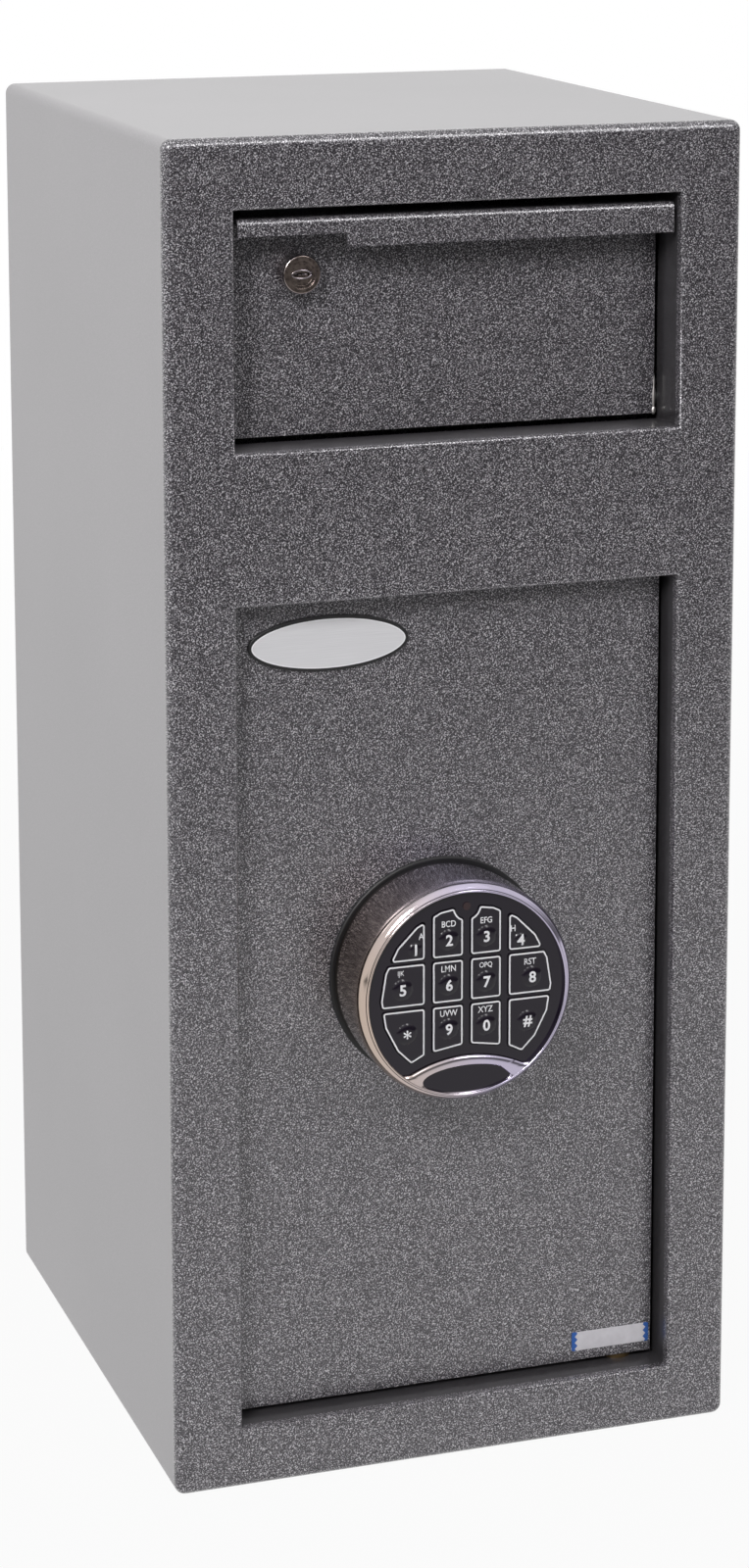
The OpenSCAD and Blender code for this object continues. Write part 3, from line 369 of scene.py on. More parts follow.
# KEYPAD SHELL
# A die-cast shell, polished and chromed, with the crescent below its keys. It turns on a black
# moulded ring, and a moulded back closes it behind.
PAD_X, PAD_Z = -3.5, 191.0  # the axis it turns on


def bright_chrome():
    """Chromium over nickel on polished die-cast zinc: a nearly clear mirror with faint swirls. Its
    colour is painted warm at the left and lilac at the right and upwards, a painted reflection,
    and painted darker on the side, as shade."""
    made, tree, place = new_finish("bright_chrome")
    # painted reflection: from warm at the keypad's left rim to lilac at its right, a little
    # upwards
    reflection_hue_axis = add_node(tree, "ShaderNodeVectorMath", {0: place, 1: (1, 0, 0.15)},
                     operation="DOT_PRODUCT")
    ends = add_node(tree, "ShaderNodeMapRange", {
        "Value": reflection_hue_axis.outputs["Value"], "From Min": -0.017, "From Max": 0.06})
    painted_reflection_hue = add_node(tree, "ShaderNodeValToRGB", {"Fac": ends.outputs["Result"]},
                       [(0.0, "#c2b0a2"), (0.6, "#b9b2c6"), (0.3, "#beb2b2")])
    # painted shade: the colour darkens over 8 mm, from the shoulder back along the side
    at = add_node(tree, "ShaderNodeSeparateXYZ", {0: place})
    side = add_node(tree, "ShaderNodeMapRange", {
        "Value": at.outputs["Y"], "From Min": -0.136, "From Max": -0.128, "To Min": 1.0,
        "To Max": 0.55})
    hue_and_painted_side_shade = add_node(tree, "ShaderNodeVectorMath", {
        0: painted_reflection_hue.outputs["Color"], "Scale": side.outputs["Result"]}, operation="SCALE")
    swirl = add_node(tree, "ShaderNodeTexNoise", {"Vector": place, "Scale": 160, "Detail": 4})
    gloss = add_node(tree, "ShaderNodeMapRange", {
        "Value": swirl.outputs["Fac"], "To Min": 0.05, "To Max": 0.2})
    metal = add_node(tree, "ShaderNodeBsdfPrincipled", {
        "Base Color": hue_and_painted_side_shade.outputs["Vector"], "Metallic": 1.0,
        "Roughness": gloss.outputs["Result"]})
    add_node(tree, "ShaderNodeOutputMaterial", {"Surface": metal.outputs["BSDF"]})
    return made


def moulded_black():
    """Injection-moulded black ABS: nearly black and dull, with a spark-eroded grain that is drawn
    0.4 mm across so that it shows."""
    made, tree, place = new_finish("moulded_black_abs")
    grain = add_node(tree, "ShaderNodeTexNoise", {"Vector": place, "Scale": 2500, "Detail": 2})
    relief = add_node(tree, "ShaderNodeBump", {
        "Height": grain.outputs["Fac"], "Strength": 0.3, "Distance": 0.0002})
    plastic = add_node(tree, "ShaderNodeBsdfPrincipled", {
        "Base Color": linear("#100f11"), "Roughness": 0.45, "Normal": relief.outputs["Normal"]})
    add_node(tree, "ShaderNodeOutputMaterial", {"Surface": plastic.outputs["BSDF"]})
    return made


def gloss_black():
    """Glossy black polycarbonate overlay with a violet cast; dust and wiping haze its gloss."""
    made, tree, place = new_finish("gloss_black_overlay")
    haze = add_node(tree, "ShaderNodeTexNoise", {"Vector": place, "Scale": 120, "Detail": 3})
    gloss = add_node(tree, "ShaderNodeMapRange", {
        "Value": haze.outputs["Fac"], "To Min": 0.06, "To Max": 0.2})
    plastic = add_node(tree, "ShaderNodeBsdfPrincipled", {
        "Base Color": linear("#150d1b"), "Roughness": gloss.outputs["Result"], "IOR": 1.42})
    add_node(tree, "ShaderNodeOutputMaterial", {"Surface": plastic.outputs["BSDF"]})
    return made


chrome = bright_chrome()
black_abs = moulded_black()
overlay = gloss_black()
dress(black_abs, "keypad_back")
dress(overlay, "key_plate", "oval_inlay")


def turned_ring(shape, cut):
    """Spins a closed cut round the keypad's axis; its corners are given out from the axis and by
    depth."""
    corners = [shape.verts.new((PAD_X + out, FRONT + depth, PAD_Z)) for out, depth in cut]
    sides = [shape.edges.new(pair) for pair in zip(corners, corners[1:] + corners[:1])]
    bmesh.ops.spin(shape, geom=corners + sides, cent=(PAD_X, 0, PAD_Z), axis=(0, 1, 0),
                   angle=math.tau, steps=144, use_merge=True)


def arc(out, depth, radius, turns):
    """The corners of an arc in such a cut, in degrees from straight out towards the front."""
    return [(out + radius * math.cos(math.radians(turn)),
             depth - radius * math.sin(math.radians(turn))) for turn in turns]


# a cut through the moulded ring: bore, front, eased edge and the side that meets the door
ring = bmesh.new()
turned_ring(ring, [(13, 11), (42.6, 11), (43, 11.4), (43, DOOR_FACE), (13, DOOR_FACE)])
bmesh.ops.recalc_face_normals(ring, faces=ring.faces)
make_piece("moulded_ring", ring, "door", [black_abs], "black_plastic", "keypad_ring")

# a cut through the shell's wall: side, broad shoulder, groove, thin bead and ledge
wall = [(40, 10.6), (41.3, 10.6), (41.6, 10.3), (41.9, 0), (42, -14.8)]
wall += arc(37.2, -15.2, 4.8, range(0, 61, 6))
wall += arc(38.95, -19.95, 0.5, range(-20, 191, 30))
wall += [(38.4, -17), (36.5, -17), (36.5, -15), (40, -15)]
shell = bmesh.new()
turned_ring(shell, wall)

# the crescent: a loop round its oval seat is carried outwards to the shell and the arc above it;
# its places are across and up from the keypad's axis
SEAT_HALF_WIDE, SEAT_HALF_HIGH, SEAT_Z = 17, 5, -33
RIM_R = 38.8  # where it meets the rim
ARC_R, ARC_Z = 47.8, -71.9  # the circle that bounds the crescent above
CURL_R = 5.0  # the radius in which its upper edge curls up into the rim at both ends
KEY_FACE = -19.2  # the depth of the keys' faces and of the crescent's edges
EDGE_ROUND = 1.8  # how far in from its edges the crescent's face is rounded
SEAT_DEPTH, RIM_DEPTH = -17.1, -17.05  # where its walls end at the seat and at the rim
LOOP_SIDES = 240
curl_z = ((RIM_R - CURL_R) ** 2 - (ARC_R + CURL_R) ** 2 + ARC_Z**2) / (2 * ARC_Z)
curl_x = math.sqrt((RIM_R - CURL_R) ** 2 - curl_z**2)
touch_x = curl_x * ARC_R / (ARC_R + CURL_R)


def reach_from_seat(across, up):
    """How far the crescent goes from the middle of its seat in a direction."""
    to_rim, to_arc = (
        math.sqrt(radius**2 - ((SEAT_Z - middle) * across) ** 2) - (SEAT_Z - middle) * up
        for radius, middle in ((RIM_R, 0), (ARC_R, ARC_Z)))
    if abs(to_arc * across) < touch_x:
        return min(to_arc, to_rim)
    ahead = abs(across) * curl_x + up * (curl_z - SEAT_Z)
    beside = ahead**2 - curl_x**2 - (curl_z - SEAT_Z) ** 2 + CURL_R**2
    return min(ahead - math.sqrt(beside), to_rim) if beside > 0 else to_rim


def band_point(turn, share, depth=None):
    """A point between the oval seat and the crescent's edge, in the direction of a point of the
    oval. Unless a depth is given, it lies on the crescent's face, which is rounded towards the
    seat and the arc."""
    across, up = SEAT_HALF_WIDE * math.cos(turn), SEAT_HALF_HIGH * math.sin(turn)
    near = math.hypot(across, up)
    across, up = across / near, up / near
    out = near + share * (reach_from_seat(across, up) - near)
    x, z = across * out, SEAT_Z + up * out
    if depth is None:
        inside = ARC_R - math.hypot(x, z - ARC_Z)
        if abs(x) > touch_x:
            inside = math.hypot(abs(x) - curl_x, z - curl_z) - CURL_R
        rises = [math.sqrt(1 - (1 - max(0, min(way, EDGE_ROUND)) / EDGE_ROUND) ** 2)
                 for way in (inside, out - near)]
        depth = KEY_FACE - rises[0] * rises[1]
    return PAD_X + x, FRONT + depth, PAD_Z + z


turns = [math.tau * i / LOOP_SIDES for i in range(LOOP_SIDES)]
loop = bmesh.ops.create_circle(shell, cap_ends=False, radius=1, segments=LOOP_SIDES)["verts"]
for vert, turn in zip(loop, turns):
    vert.co = band_point(turn, 0, SEAT_DEPTH)
shares = (0, 0.02, 0.05, 0.1, 0.17, 0.27, 0.4, 0.55, 0.7, 0.81, 0.89, 0.94, 0.975, 1)
for step in [(share,) for share in shares] + [(1, RIM_DEPTH)]:
    round_loop = [e for e in shell.edges if e.verts[0] in loop and e.verts[1] in loop]
    grown = bmesh.ops.extrude_edge_only(shell, edges=round_loop)["geom"]
    order = {vert: i for i, vert in enumerate(loop)}
    loop = [None] * len(order)
    for vert in [v for v in grown if isinstance(v, bmesh.types.BMVert)]:
        source = next(e.other_vert(vert) for e in vert.link_edges if e.other_vert(vert) in order)
        loop[order[source]] = vert
    for vert, turn in zip(loop, turns):
        vert.co = band_point(turn, *step)
bmesh.ops.bridge_loops(shell, edges=[e for e in shell.edges if e.is_boundary])
bmesh.ops.recalc_face_normals(shell, faces=shell.faces)
make_piece("chrome_shell", shell, "keypad", [chrome], "chrome", "keypad_housing")

# KEYS
# Domed keys of the same glossy black, each with a white printed border, a figure and, on most,
# the letters of a telephone dial above it.
KEY_THICK, KEY_EASE, BORDER = 2.6, 0.2, 0.6
DOME_H = 0.8
# the height, boldness and narrowing of each kind of print
FIGURE, STAR, LETTERS = (4.3, 0.025, 1.0), (3.4, 0.01, 1.0), (2.4, 0.01, 0.86)
PRINT_PROUD = 0.03  # how far the white film stands off the dome
# name: figure, letters, radius and place of the dome, place of the letters; places are across and
# up from the keypad's axis
KEYS = {
    "key_1": ("1", "A", 2.8, (-20.2, 18.5), (-17.9, 23.4)),
    "key_2": ("2", "BCD", 4.1, (-7.2, 21.0), (-7.2, 27.1)),
    "key_3": ("3", "EFG", 4.1, (7.5, 21.0), (7.5, 27.1)),
    "key_4": ("4", "H", 2.8, (21.0, 18.2), (18.1, 22.8)),
    "key_5": ("5", "IJK", 4.1, (-25.2, 3.7), (-25.8, 9.8)),
    "key_6": ("6", "LMN", 4.1, (-7.2, 3.8), (-7.2, 10.0)),
    "key_7": ("7", "OPQ", 4.1, (7.5, 3.6), (7.4, 9.8)),
    "key_8": ("8", "RST", 4.1, (25.6, 3.5), (24.8, 9.4)),
    "key_star": ("*", "", 4.1, (-23.5, -13.4), None),
    "key_9": ("9", "UVW", 4.1, (-7.2, -13.2), (-7.2, -7.1)),
    "key_0": ("0", "XYZ", 4.1, (7.5, -13.2), (7.3, -7.1)),
    "key_hash": ("#", "", 4.1, (23.8, -13.5), None),
}


def dome_rise(share):
    """How high the dome stands, at a share of its radius out from its top."""
    return DOME_H * max(0, 1 - share**4)


def add_print(shape, words, style, place, dome, dome_r):
    """Adds a line of print to a key, centred at a place and laid over its dome."""
    height, bold, narrow = style
    text = bpy.data.curves.new("print", "FONT")
    text.body, text.align_x, text.align_y = words, "CENTER", "CENTER"
    text.offset, text.extrude, text.resolution_u = bold, 0.01, 4
    line = bpy.data.objects.new("print", text)
    bpy.context.scene.collection.objects.link(line)
    bpy.context.view_layer.update()
    depsgraph = bpy.context.evaluated_depsgraph_get()
    letters = bpy.data.meshes.new_from_object(line.evaluated_get(depsgraph))
    bpy.data.objects.remove(line)
    film = bmesh.new()
    film.from_mesh(letters)
    low, high = min(v.co.y for v in film.verts), max(v.co.y for v in film.verts)
    grow, middle = height / (high - low), (low + high) / 2
    # cut into squares of 0.5 mm, so that the film can bend over the dome
    for step in range(-10, 11):
        for across, up in ((1, 0), (0, 1)):
            at = (step * 0.5 / grow, middle + step * 0.5 / grow, 0)
            bmesh.ops.bisect_plane(film, geom=film.verts[:] + film.edges[:] + film.faces[:],
                                   plane_co=at, plane_no=(across, up, 0))
    for v in film.verts:
        x, z = place[0] + v.co.x * grow * narrow, place[1] + (v.co.y - middle) * grow
        rise = dome_rise(math.hypot(x - dome[0], z - dome[1]) / dome_r)
        lift = rise + PRINT_PROUD + 1.5 * v.co.z
        v.co = (PAD_X + x, FRONT + KEY_FACE - lift, PAD_Z + z)
    before = set(shape.faces)
    film.to_mesh(letters)
    film.free()
    shape.from_mesh(letters)
    for f in shape.faces:
        if f not in before:
            f.material_index = 1


for name, (figure, letters, dome_r, dome, above) in KEYS.items():
    key = merged_copy(name)
    rim = {e for e in sharp_edges(key, 45)
           if all(abs(v.co.y - FRONT - KEY_FACE) < 0.02 for v in e.verts)}
    # only the outline of its face is kept, and the key is made anew from that
    bmesh.ops.delete(key, geom=key.faces[:], context="FACES_ONLY")
    bmesh.ops.delete(key, geom=[e for e in key.edges if e not in rim], context="EDGES")
    bmesh.ops.delete(key, geom=[v for v in key.verts if not v.link_edges], context="VERTS")
    join_flats(key)
    face = bmesh.ops.contextual_create(key, geom=key.edges[:])["faces"][0]
    grown = bmesh.ops.extrude_face_region(key, geom=[face], use_keep_orig=True)["geom"]
    move(key, grown, (0, KEY_THICK, 0))
    bmesh.ops.recalc_face_normals(key, faces=key.faces)
    round_edges(key, front_face(key).edges[:], KEY_EASE, 2)
    border = bmesh.ops.inset_region(key, faces=[front_face(key)], thickness=BORDER,
                                    use_even_offset=True)["faces"]
    for f in border:
        f.material_index = 1
    cap = [(dome_r * i / 10, KEY_FACE - dome_rise(i / 10)) for i in range(11)]
    cap += [(0, KEY_FACE + 0.3)]
    middle = Vector((PAD_X + dome[0], FRONT, PAD_Z + dome[1]))
    corners = [key.verts.new(middle + Vector((out, depth, 0))) for out, depth in cap]
    sides = [key.edges.new(pair) for pair in zip(corners, corners[1:])]
    bmesh.ops.spin(key, geom=corners + sides, cent=middle, axis=(0, 1, 0), angle=math.tau,
                   steps=40, use_merge=True)
    poles = [v for v in key.verts if (v.co - middle).xz.length < 0.001]
    bmesh.ops.remove_doubles(key, verts=poles, dist=0.001)
    bmesh.ops.recalc_face_normals(key, faces=key.faces)
    add_print(key, figure, STAR if figure == "*" else FIGURE, dome, dome, dome_r)
    if letters:
        add_print(key, letters, LETTERS, above, dome, dome_r)
    make_piece("printed_" + name, key, name, [overlay, white_ink], "key_black", name)

# HOPPER
# One 2 mm sheet, folded twice at its head into the lip that a finger pulls; the lip is cut
# shallower above the key lock. Cheeks and floor are spot-welded behind it.
SHEET_LEFT, SHEET_FOOT, SHEET_HEAD = -83, 396.4, 478.3
SHEET_BACK, SHEET_THICK, LIP_FACE = 22, 2, 2.6
LIP_FOOT, LIP_DROP = 472.1, 5  # its lower edge above the key lock, and how much lower it is beside
SHALLOW_WIDE, FULL_WIDE = 41, 127  # how far the shallow part and the rest of the lip reach
FOLD_R = 2.2


def plain_finish(name, code, rough, grain_mm, relief_mm, metallic=0.0):
    """A finish of one colour, whose gloss and relief follow the grain that its making leaves."""
    made, tree, place = new_finish(name)
    grain = add_node(tree, "ShaderNodeTexNoise", {
        "Vector": place, "Scale": 1000 / grain_mm, "Detail": 3})
    gloss = add_node(tree, "ShaderNodeMapRange", {
        "Value": grain.outputs["Fac"], "To Min": rough - 0.12, "To Max": rough + 0.12})
    relief = add_node(tree, "ShaderNodeBump", {
        "Height": grain.outputs["Fac"], "Strength": 0.6, "Distance": relief_mm / 1000})
    solid = add_node(tree, "ShaderNodeBsdfPrincipled", {
        "Base Color": linear(code), "Metallic": metallic, "Roughness": gloss.outputs["Result"],
        "Normal": relief.outputs["Normal"]})
    add_node(tree, "ShaderNodeOutputMaterial", {"Surface": solid.outputs["BSDF"]})
    return made


hopper = bmesh.new()
fold = [hopper.verts.new((SHEET_LEFT, FRONT + depth, up)) for depth, up in (
    (SHEET_BACK, SHEET_FOOT), (SHEET_BACK, SHEET_HEAD), (LIP_FACE, SHEET_HEAD),
    (LIP_FACE, LIP_FOOT))]
strip = [hopper.edges.new(pair) for pair in zip(fold, fold[1:])]
for across in (SHALLOW_WIDE, FULL_WIDE):
    grown = bmesh.ops.extrude_edge_only(hopper, edges=strip)["geom"]
    move(hopper, grown, (across, 0, 0))
    strip = [e for e in grown if isinstance(e, bmesh.types.BMEdge)]
full_lip = [e for e in hopper.edges
            if all(abs(v.co.z - LIP_FOOT) < 0.01 and v.co.x > SHEET_LEFT + SHALLOW_WIDE - 1
                   for v in e.verts)]
move(hopper, bmesh.ops.extrude_edge_only(hopper, edges=full_lip)["geom"], (0, 0, -LIP_DROP))
bends = [e for e in hopper.edges if all(abs(v.co.z - SHEET_HEAD) < 0.01 for v in e.verts)
         and abs(e.verts[0].co.x - e.verts[1].co.x) > 1]
round_edges(hopper, bends, FOLD_R, 5)
bmesh.ops.recalc_face_normals(hopper, faces=hopper.faces)
bmesh.ops.solidify(hopper, geom=hopper.faces[:], thickness=SHEET_THICK)
make_piece("hopper_sheet", hopper, "hopper", [enamel], "hammertone_paint", "hopper_front")
dress(enamel, "cheek_left", "cheek_right", "hopper_floor")

# the bead of weld between sheet and right cheek, rubbed bright by the casing; each blob has its
# foot, its height and its half width
WELD_X, WELD_DEPTH = 85.1, 20.5
weld = bmesh.new()
for foot, tall, half_wide in ((396.6, 12, 0.8), (395.6, 3.5, 1.0), (405, 6, 0.65)):
    place = Matrix.Translation((WELD_X, FRONT + WELD_DEPTH, foot + tall / 2))
    bmesh.ops.create_uvsphere(weld, u_segments=16, v_segments=12, radius=1,
                              matrix=place @ Matrix.Diagonal((half_wide, half_wide, tall / 2, 1)))
rubbed = plain_finish("rubbed_weld", "#d6d3d0", 0.35, 2.0, 0.05, 1.0)
make_piece("weld_bead", weld, "hopper", [rubbed], "hammertone_paint")

# HOPPER KEY LOCK
# A small cam lock of nickelled and chromed zinc: a collar, and a plug that a flat key turns. The
# nut and the cam behind the sheet are zinc-plated steel.
LOCK_X, LOCK_Z = -56, 456.4
PLUG_FACE = 12.9
KEYWAY_HALF_WIDE, KEYWAY_HALF_HIGH = 3.6, 1.5
BEAD_R, BEND_R = 0.35, 9  # the bezel's bead, and the ring it is first bent into


def worn_nickel():
    """Nickel plate on zinc, rubbed dull and brownish by keys and fingers, with hairlines from
    them."""
    made, tree, place = new_finish("worn_nickel_plate")
    rub = add_node(tree, "ShaderNodeTexNoise", {"Vector": place, "Scale": 700, "Detail": 3})
    colour = add_node(tree, "ShaderNodeValToRGB", {"Fac": rub.outputs["Fac"]},
                      [(0.35, "#675c58"), (0.65, "#82766f")])
    gloss = add_node(tree, "ShaderNodeMapRange", {
        "Value": rub.outputs["Fac"], "To Min": 0.18, "To Max": 0.4})
    metal = add_node(tree, "ShaderNodeBsdfPrincipled", {
        "Base Color": colour.outputs["Color"], "Metallic": 1.0,
        "Roughness": gloss.outputs["Result"]})
    add_node(tree, "ShaderNodeOutputMaterial", {"Surface": metal.outputs["BSDF"]})
    return made


nickel = worn_nickel()
dress(nickel, "lock_plug")
collar = eased("lock_cylinder", 0.15, 2)
# chromed round its side in front of the sheet
for f in collar.faces:
    if f.normal.y > -0.9 and f.calc_center_median().y < FRONT + 20:
        f.material_index = 1
make_piece("lock_collar", collar, "hopper", [nickel, chrome], "chrome", "lock_cylinder")

bezel = bmesh.new()
bmesh.ops.create_circle(
    bezel, cap_ends=False, radius=BEAD_R, segments=12,
    matrix=Matrix.Translation((BEND_R, 0, 0)) @ Matrix.Rotation(math.radians(90), 4, "X"))
bmesh.ops.spin(bezel, geom=bezel.verts[:] + bezel.edges[:], cent=(0, 0, 0), axis=(0, 0, 1),
               angle=math.tau, steps=48, use_merge=True)
for vert in bezel.verts:
    # from a round ring to an oval one round the keyway, as thick all round
    turn, proud = math.atan2(vert.co.y, vert.co.x), math.hypot(vert.co.x, vert.co.y) - BEND_R
    outwards = Vector((math.cos(turn) / KEYWAY_HALF_WIDE, math.sin(turn) / KEYWAY_HALF_HIGH))
    outwards.normalize()
    across = KEYWAY_HALF_WIDE * math.cos(turn) + proud * outwards.x
    up = KEYWAY_HALF_HIGH * math.sin(turn) + proud * outwards.y
    vert.co = (LOCK_X + across, FRONT + PLUG_FACE - 0.02 - vert.co.z, LOCK_Z + up)
# the ends of the wafers that a key lifts, just inside the keyway: sides, foot, head and depth,
# from the middle of the plug's face
WAFERS = [(0.3, 2.5, -0.5, 0.05, 0.5), (-2.5, -1.4, -0.05, 0.5, 0.9),
          (-0.9, 0.6, -0.5, -0.15, 1.3)]
WAFER_THICK = 0.4
for left, right, foot, head, depth in WAFERS:
    ends = slab(bezel, LOCK_X + left, LOCK_X + right, PLUG_FACE + depth,
                PLUG_FACE + depth + WAFER_THICK, LOCK_Z + foot, LOCK_Z + head)
    round_edges(bezel, list({e for v in ends for e in v.link_edges}), 0.08, 2)
bmesh.ops.recalc_face_normals(bezel, faces=bezel.faces)
make_piece("keyway_bezel", bezel, "key_plug", [chrome], "chrome")

# WORKS
# Zinc-plated steel screws, posts, bolts, bars and cams, and turned brass bushes and pinion. The
# lock case is a bare zinc casting, screwed behind the door.


def zinc_plate():
    """Bright zinc, electroplated on steel: bluish silver, cloudy at about 4 mm, dulled by
    handling.
    """
    made, tree, place = new_finish("zinc_plated_steel")
    cloud = add_node(tree, "ShaderNodeTexNoise", {"Vector": place, "Scale": 250, "Detail": 4})
    colour = add_node(tree, "ShaderNodeValToRGB", {"Fac": cloud.outputs["Fac"]},
                      [(0.35, "#a9adb1"), (0.65, "#c9cbca")])
    gloss = add_node(tree, "ShaderNodeMapRange", {
        "Value": cloud.outputs["Fac"], "To Min": 0.22, "To Max": 0.5})
    metal = add_node(tree, "ShaderNodeBsdfPrincipled", {
        "Base Color": colour.outputs["Color"], "Metallic": 1.0,
        "Roughness": gloss.outputs["Result"]})
    add_node(tree, "ShaderNodeOutputMaterial", {"Surface": metal.outputs["BSDF"]})
    return made


def turned_brass():
    """Free-cutting brass, turned: warm yellow with fine tool lines 0.3 mm apart."""
    made, tree, place = new_finish("turned_brass")
    lines = add_node(tree, "ShaderNodeTexWave", {
        "Vector": place, "Scale": 500, "Distortion": 1.0})
    gloss = add_node(tree, "ShaderNodeMapRange", {
        "Value": lines.outputs["Fac"], "To Min": 0.2, "To Max": 0.34})
    metal = add_node(tree, "ShaderNodeBsdfPrincipled", {
        "Base Color": linear("#cda65c"), "Metallic": 1.0, "Roughness": gloss.outputs["Result"]})
    add_node(tree, "ShaderNodeOutputMaterial", {"Surface": metal.outputs["BSDF"]})
    return made


zinc = zinc_plate()
brass = turned_brass()
dress(zinc, "hopper_pivot_pins", "hinge_pins", "cover_posts", "door_cover", "cover_screws",
      "lock_case_screws", "bolt_guides", "bolt_bar", "locking_bolts", "spindle", "spindle_nut",
      "lock_nut", "lock_cam")
dress(brass, "spindle_bush", "pinion")

# the lock case is zinc as it leaves the die, dull and pitted; the battery's steel jacket is
# printed gold; mat and lead are matt rubber and PVC, and the board wears glossy green solder mask.
# The hopper's channel is coloured near black as painted shade in the gap above the lip; oil has
# browned the hinges' brass bushes, and the lamp's red lens looks nearly black while it is out
lock_box = eased("lock_case", 1.0, 3)
cast_zinc = plain_finish("die_cast_zinc", "#a3a5a8", 0.45, 1.2, 0.06, 0.8)
make_piece("cast_lock_case", lock_box, "door", [cast_zinc], "die_cast", "lock_case")
dress(plain_finish("printed_steel_jacket", "#b08a3c", 0.35, 6, 0.01, 0.6), "battery")
dress(plain_finish("silicone_rubber", "#46464a", 0.7, 0.6, 0.04), "key_mat")
dress(plain_finish("soft_pvc_lead", "#1a1a1b", 0.5, 0.8, 0.03), "keypad_lead")
dress(plain_finish("green_solder_mask", "#1f5a33", 0.3, 1.5, 0.02), "circuit_board")
dress(plain_finish("painted_shade_near_black", "#232225", 0.6, 0.7, 0.02), "cam_strike")
dress(plain_finish("oiled_brass", "#5d4c33", 0.5, 0.8, 0.01, 0.8), "hinge_bushes")
dress(plain_finish("red_lamp_lens", "#2b1216", 0.2, 2.0, 0.0), "keypad_led")

# FLOOR, BACKGROUND AND LIGHT
# A white paper sweep under five soft boxes. The key stands at the front right; one lower down at
# the left shades the openings' left edges, and the room in front of the safe is dim.
OBJECT_MIDDLE = (0, 0, 0.3)  # what the boxes in front are aimed at, in metres


def seen_rays(tree):
    """One where a ray comes from the camera, or by way of a mirror or glass."""
    path = add_node(tree, "ShaderNodeLightPath")
    mirrored = add_node(tree, "ShaderNodeMath", {
        0: path.outputs["Is Glossy Ray"], 1: path.outputs["Is Transmission Ray"]},
        operation="MAXIMUM")
    return path.outputs["Is Camera Ray"], mirrored.outputs[0]


def white_sweep():
    """Seamless white paper: nearly pure white to the camera, with the object's soft shadow
    kept."""
    made, tree, place = new_finish("white_paper")
    direct, mirrored = seen_rays(tree)
    paper = add_node(tree, "ShaderNodeBsdfDiffuse", {"Color": linear("#909090")})
    glow = add_node(tree, "ShaderNodeEmission", {"Color": linear("#ffffff"), "Strength": 1.0})
    # the photographer's end of the paper lies in the dark, so that mirrors facing it stay dark
    along = add_node(tree, "ShaderNodeSeparateXYZ", {0: place})
    lit_end = add_node(tree, "ShaderNodeMapRange", {
        "Value": along.outputs["Y"], "From Min": -1.5, "From Max": -0.6, "To Min": 0.0,
        "To Max": 1.0})
    reflected = add_node(tree, "ShaderNodeMath", {0: mirrored, 1: lit_end.outputs[0]},
                         operation="MULTIPLY")
    either = add_node(tree, "ShaderNodeMath", {0: direct, 1: reflected.outputs[0]},
                      operation="MAXIMUM")
    # near the safe some of the paper's own shading, and so its shadow, shows through the white
    reach = add_node(tree, "ShaderNodeVectorMath", {0: place}, operation="LENGTH")
    fade = add_node(tree, "ShaderNodeMapRange", {
        "Value": reach.outputs["Value"], "From Min": 0.5, "From Max": 2.0, "To Min": 0.95,
        "To Max": 1.0})
    share = add_node(tree, "ShaderNodeMath", {0: either.outputs[0], 1: fade.outputs[0]},
                     operation="MULTIPLY")
    both = add_node(tree, "ShaderNodeMixShader", {
        0: share.outputs[0], 1: paper.outputs[0], 2: glow.outputs[0]})
    add_node(tree, "ShaderNodeOutputMaterial", {"Surface": both.outputs[0]})
    return made


def add_light(name, place, aim, width, height, watts):
    """Adds a soft box that shines at a point."""
    lamp = bpy.data.lights.new(name, "AREA")
    lamp.shape, lamp.size, lamp.size_y, lamp.energy = "RECTANGLE", width, height, watts
    box = bpy.data.objects.new(name, lamp)
    bpy.context.scene.collection.objects.link(box)
    box.location = place
    box.rotation_euler = (Vector(aim) - Vector(place)).to_track_quat("-Z", "Y").to_euler()


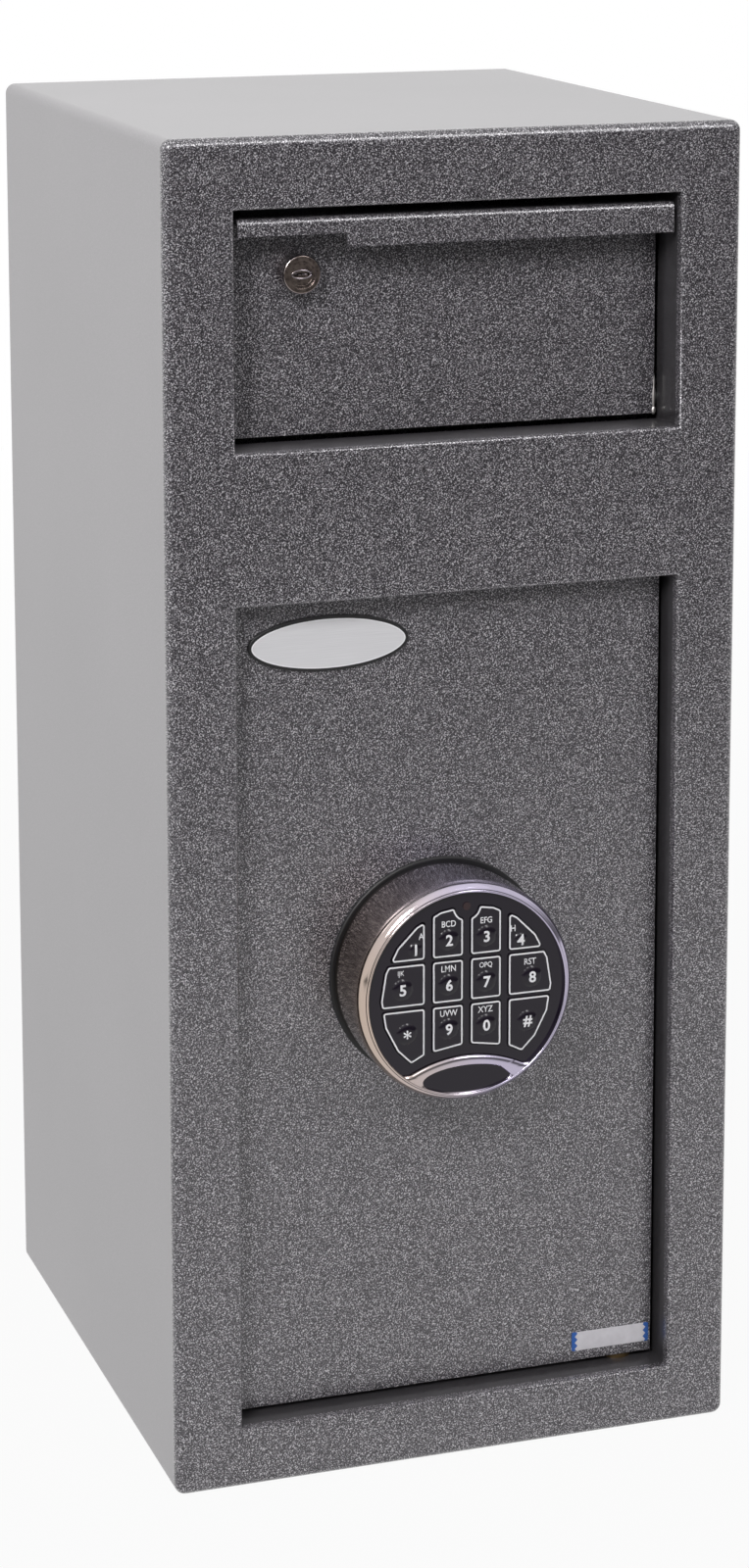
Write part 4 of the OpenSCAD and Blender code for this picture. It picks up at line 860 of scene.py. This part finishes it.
sweep = bmesh.new()
bmesh.ops.create_grid(sweep, x_segments=1, y_segments=1, size=6)
floor_mesh = bpy.data.meshes.new("floor")
sweep.to_mesh(floor_mesh)
sweep.free()
floor_mesh.materials.append(white_sweep())
floor = bpy.data.objects.new("floor", floor_mesh)
bpy.context.scene.collection.objects.link(floor)

world = bpy.data.worlds.new("studio")
bpy.context.scene.world = world
world.use_nodes = True
room = world.node_tree
room.nodes.clear()
direct, mirrored = seen_rays(room)
way = add_node(room, "ShaderNodeTexCoord").outputs["Generated"]
# the room's own faint light comes from behind and above the safe, at its left
back_left = add_node(room, "ShaderNodeVectorMath", {0: way, 1: (-0.45, 0.75, 0.5)},
                     operation="DOT_PRODUCT")
faint = add_node(room, "ShaderNodeMapRange", {
    "Value": back_left.outputs["Value"], "From Min": -0.5, "From Max": 0.7, "To Min": 0.0,
    "To Max": 0.3})
# mirrors see the white sweep above and behind the safe, and a dark room before it
above = add_node(room, "ShaderNodeVectorMath", {0: way, 1: (-0.3, 0.3, 0.9)},
                 operation="DOT_PRODUCT")
behind = add_node(room, "ShaderNodeMapRange", {
    "Value": above.outputs["Value"], "From Min": -0.2, "From Max": 0.1, "To Min": 0.2,
    "To Max": 1.0})
shown = add_node(room, "ShaderNodeMath", {0: mirrored, 1: behind.outputs[0], 2: direct},
                 operation="MULTIPLY_ADD")
strength = add_node(room, "ShaderNodeMath", {0: faint.outputs[0], 1: shown.outputs[0]},
                    operation="MAXIMUM")
sky = add_node(room, "ShaderNodeBackground", {
    "Color": (1, 1, 1, 1), "Strength": strength.outputs[0]})
add_node(room, "ShaderNodeOutputWorld", {"Surface": sky.outputs[0]})

add_light("key", (1.1, -2.4, 2.15), OBJECT_MIDDLE, 0.65, 1.25, 22)
add_light("fill", (-0.4, -2.5, 2.2), OBJECT_MIDDLE, 0.5, 0.6, 5)
add_light("left", (-1.0, -1.4, 1.4), OBJECT_MIDDLE, 0.4, 0.7, 25)
add_light("side", (-0.75, 0.15, 1.05), (-0.1, 0.05, 0.4), 0.5, 0.5, 1.2)
add_light("overhead", (0.2, -0.8, 1.9), (0, -0.1, 0.3), 1.8, 1.2, 1.5)

bpy.context.scene.view_settings.view_transform = "Standard"
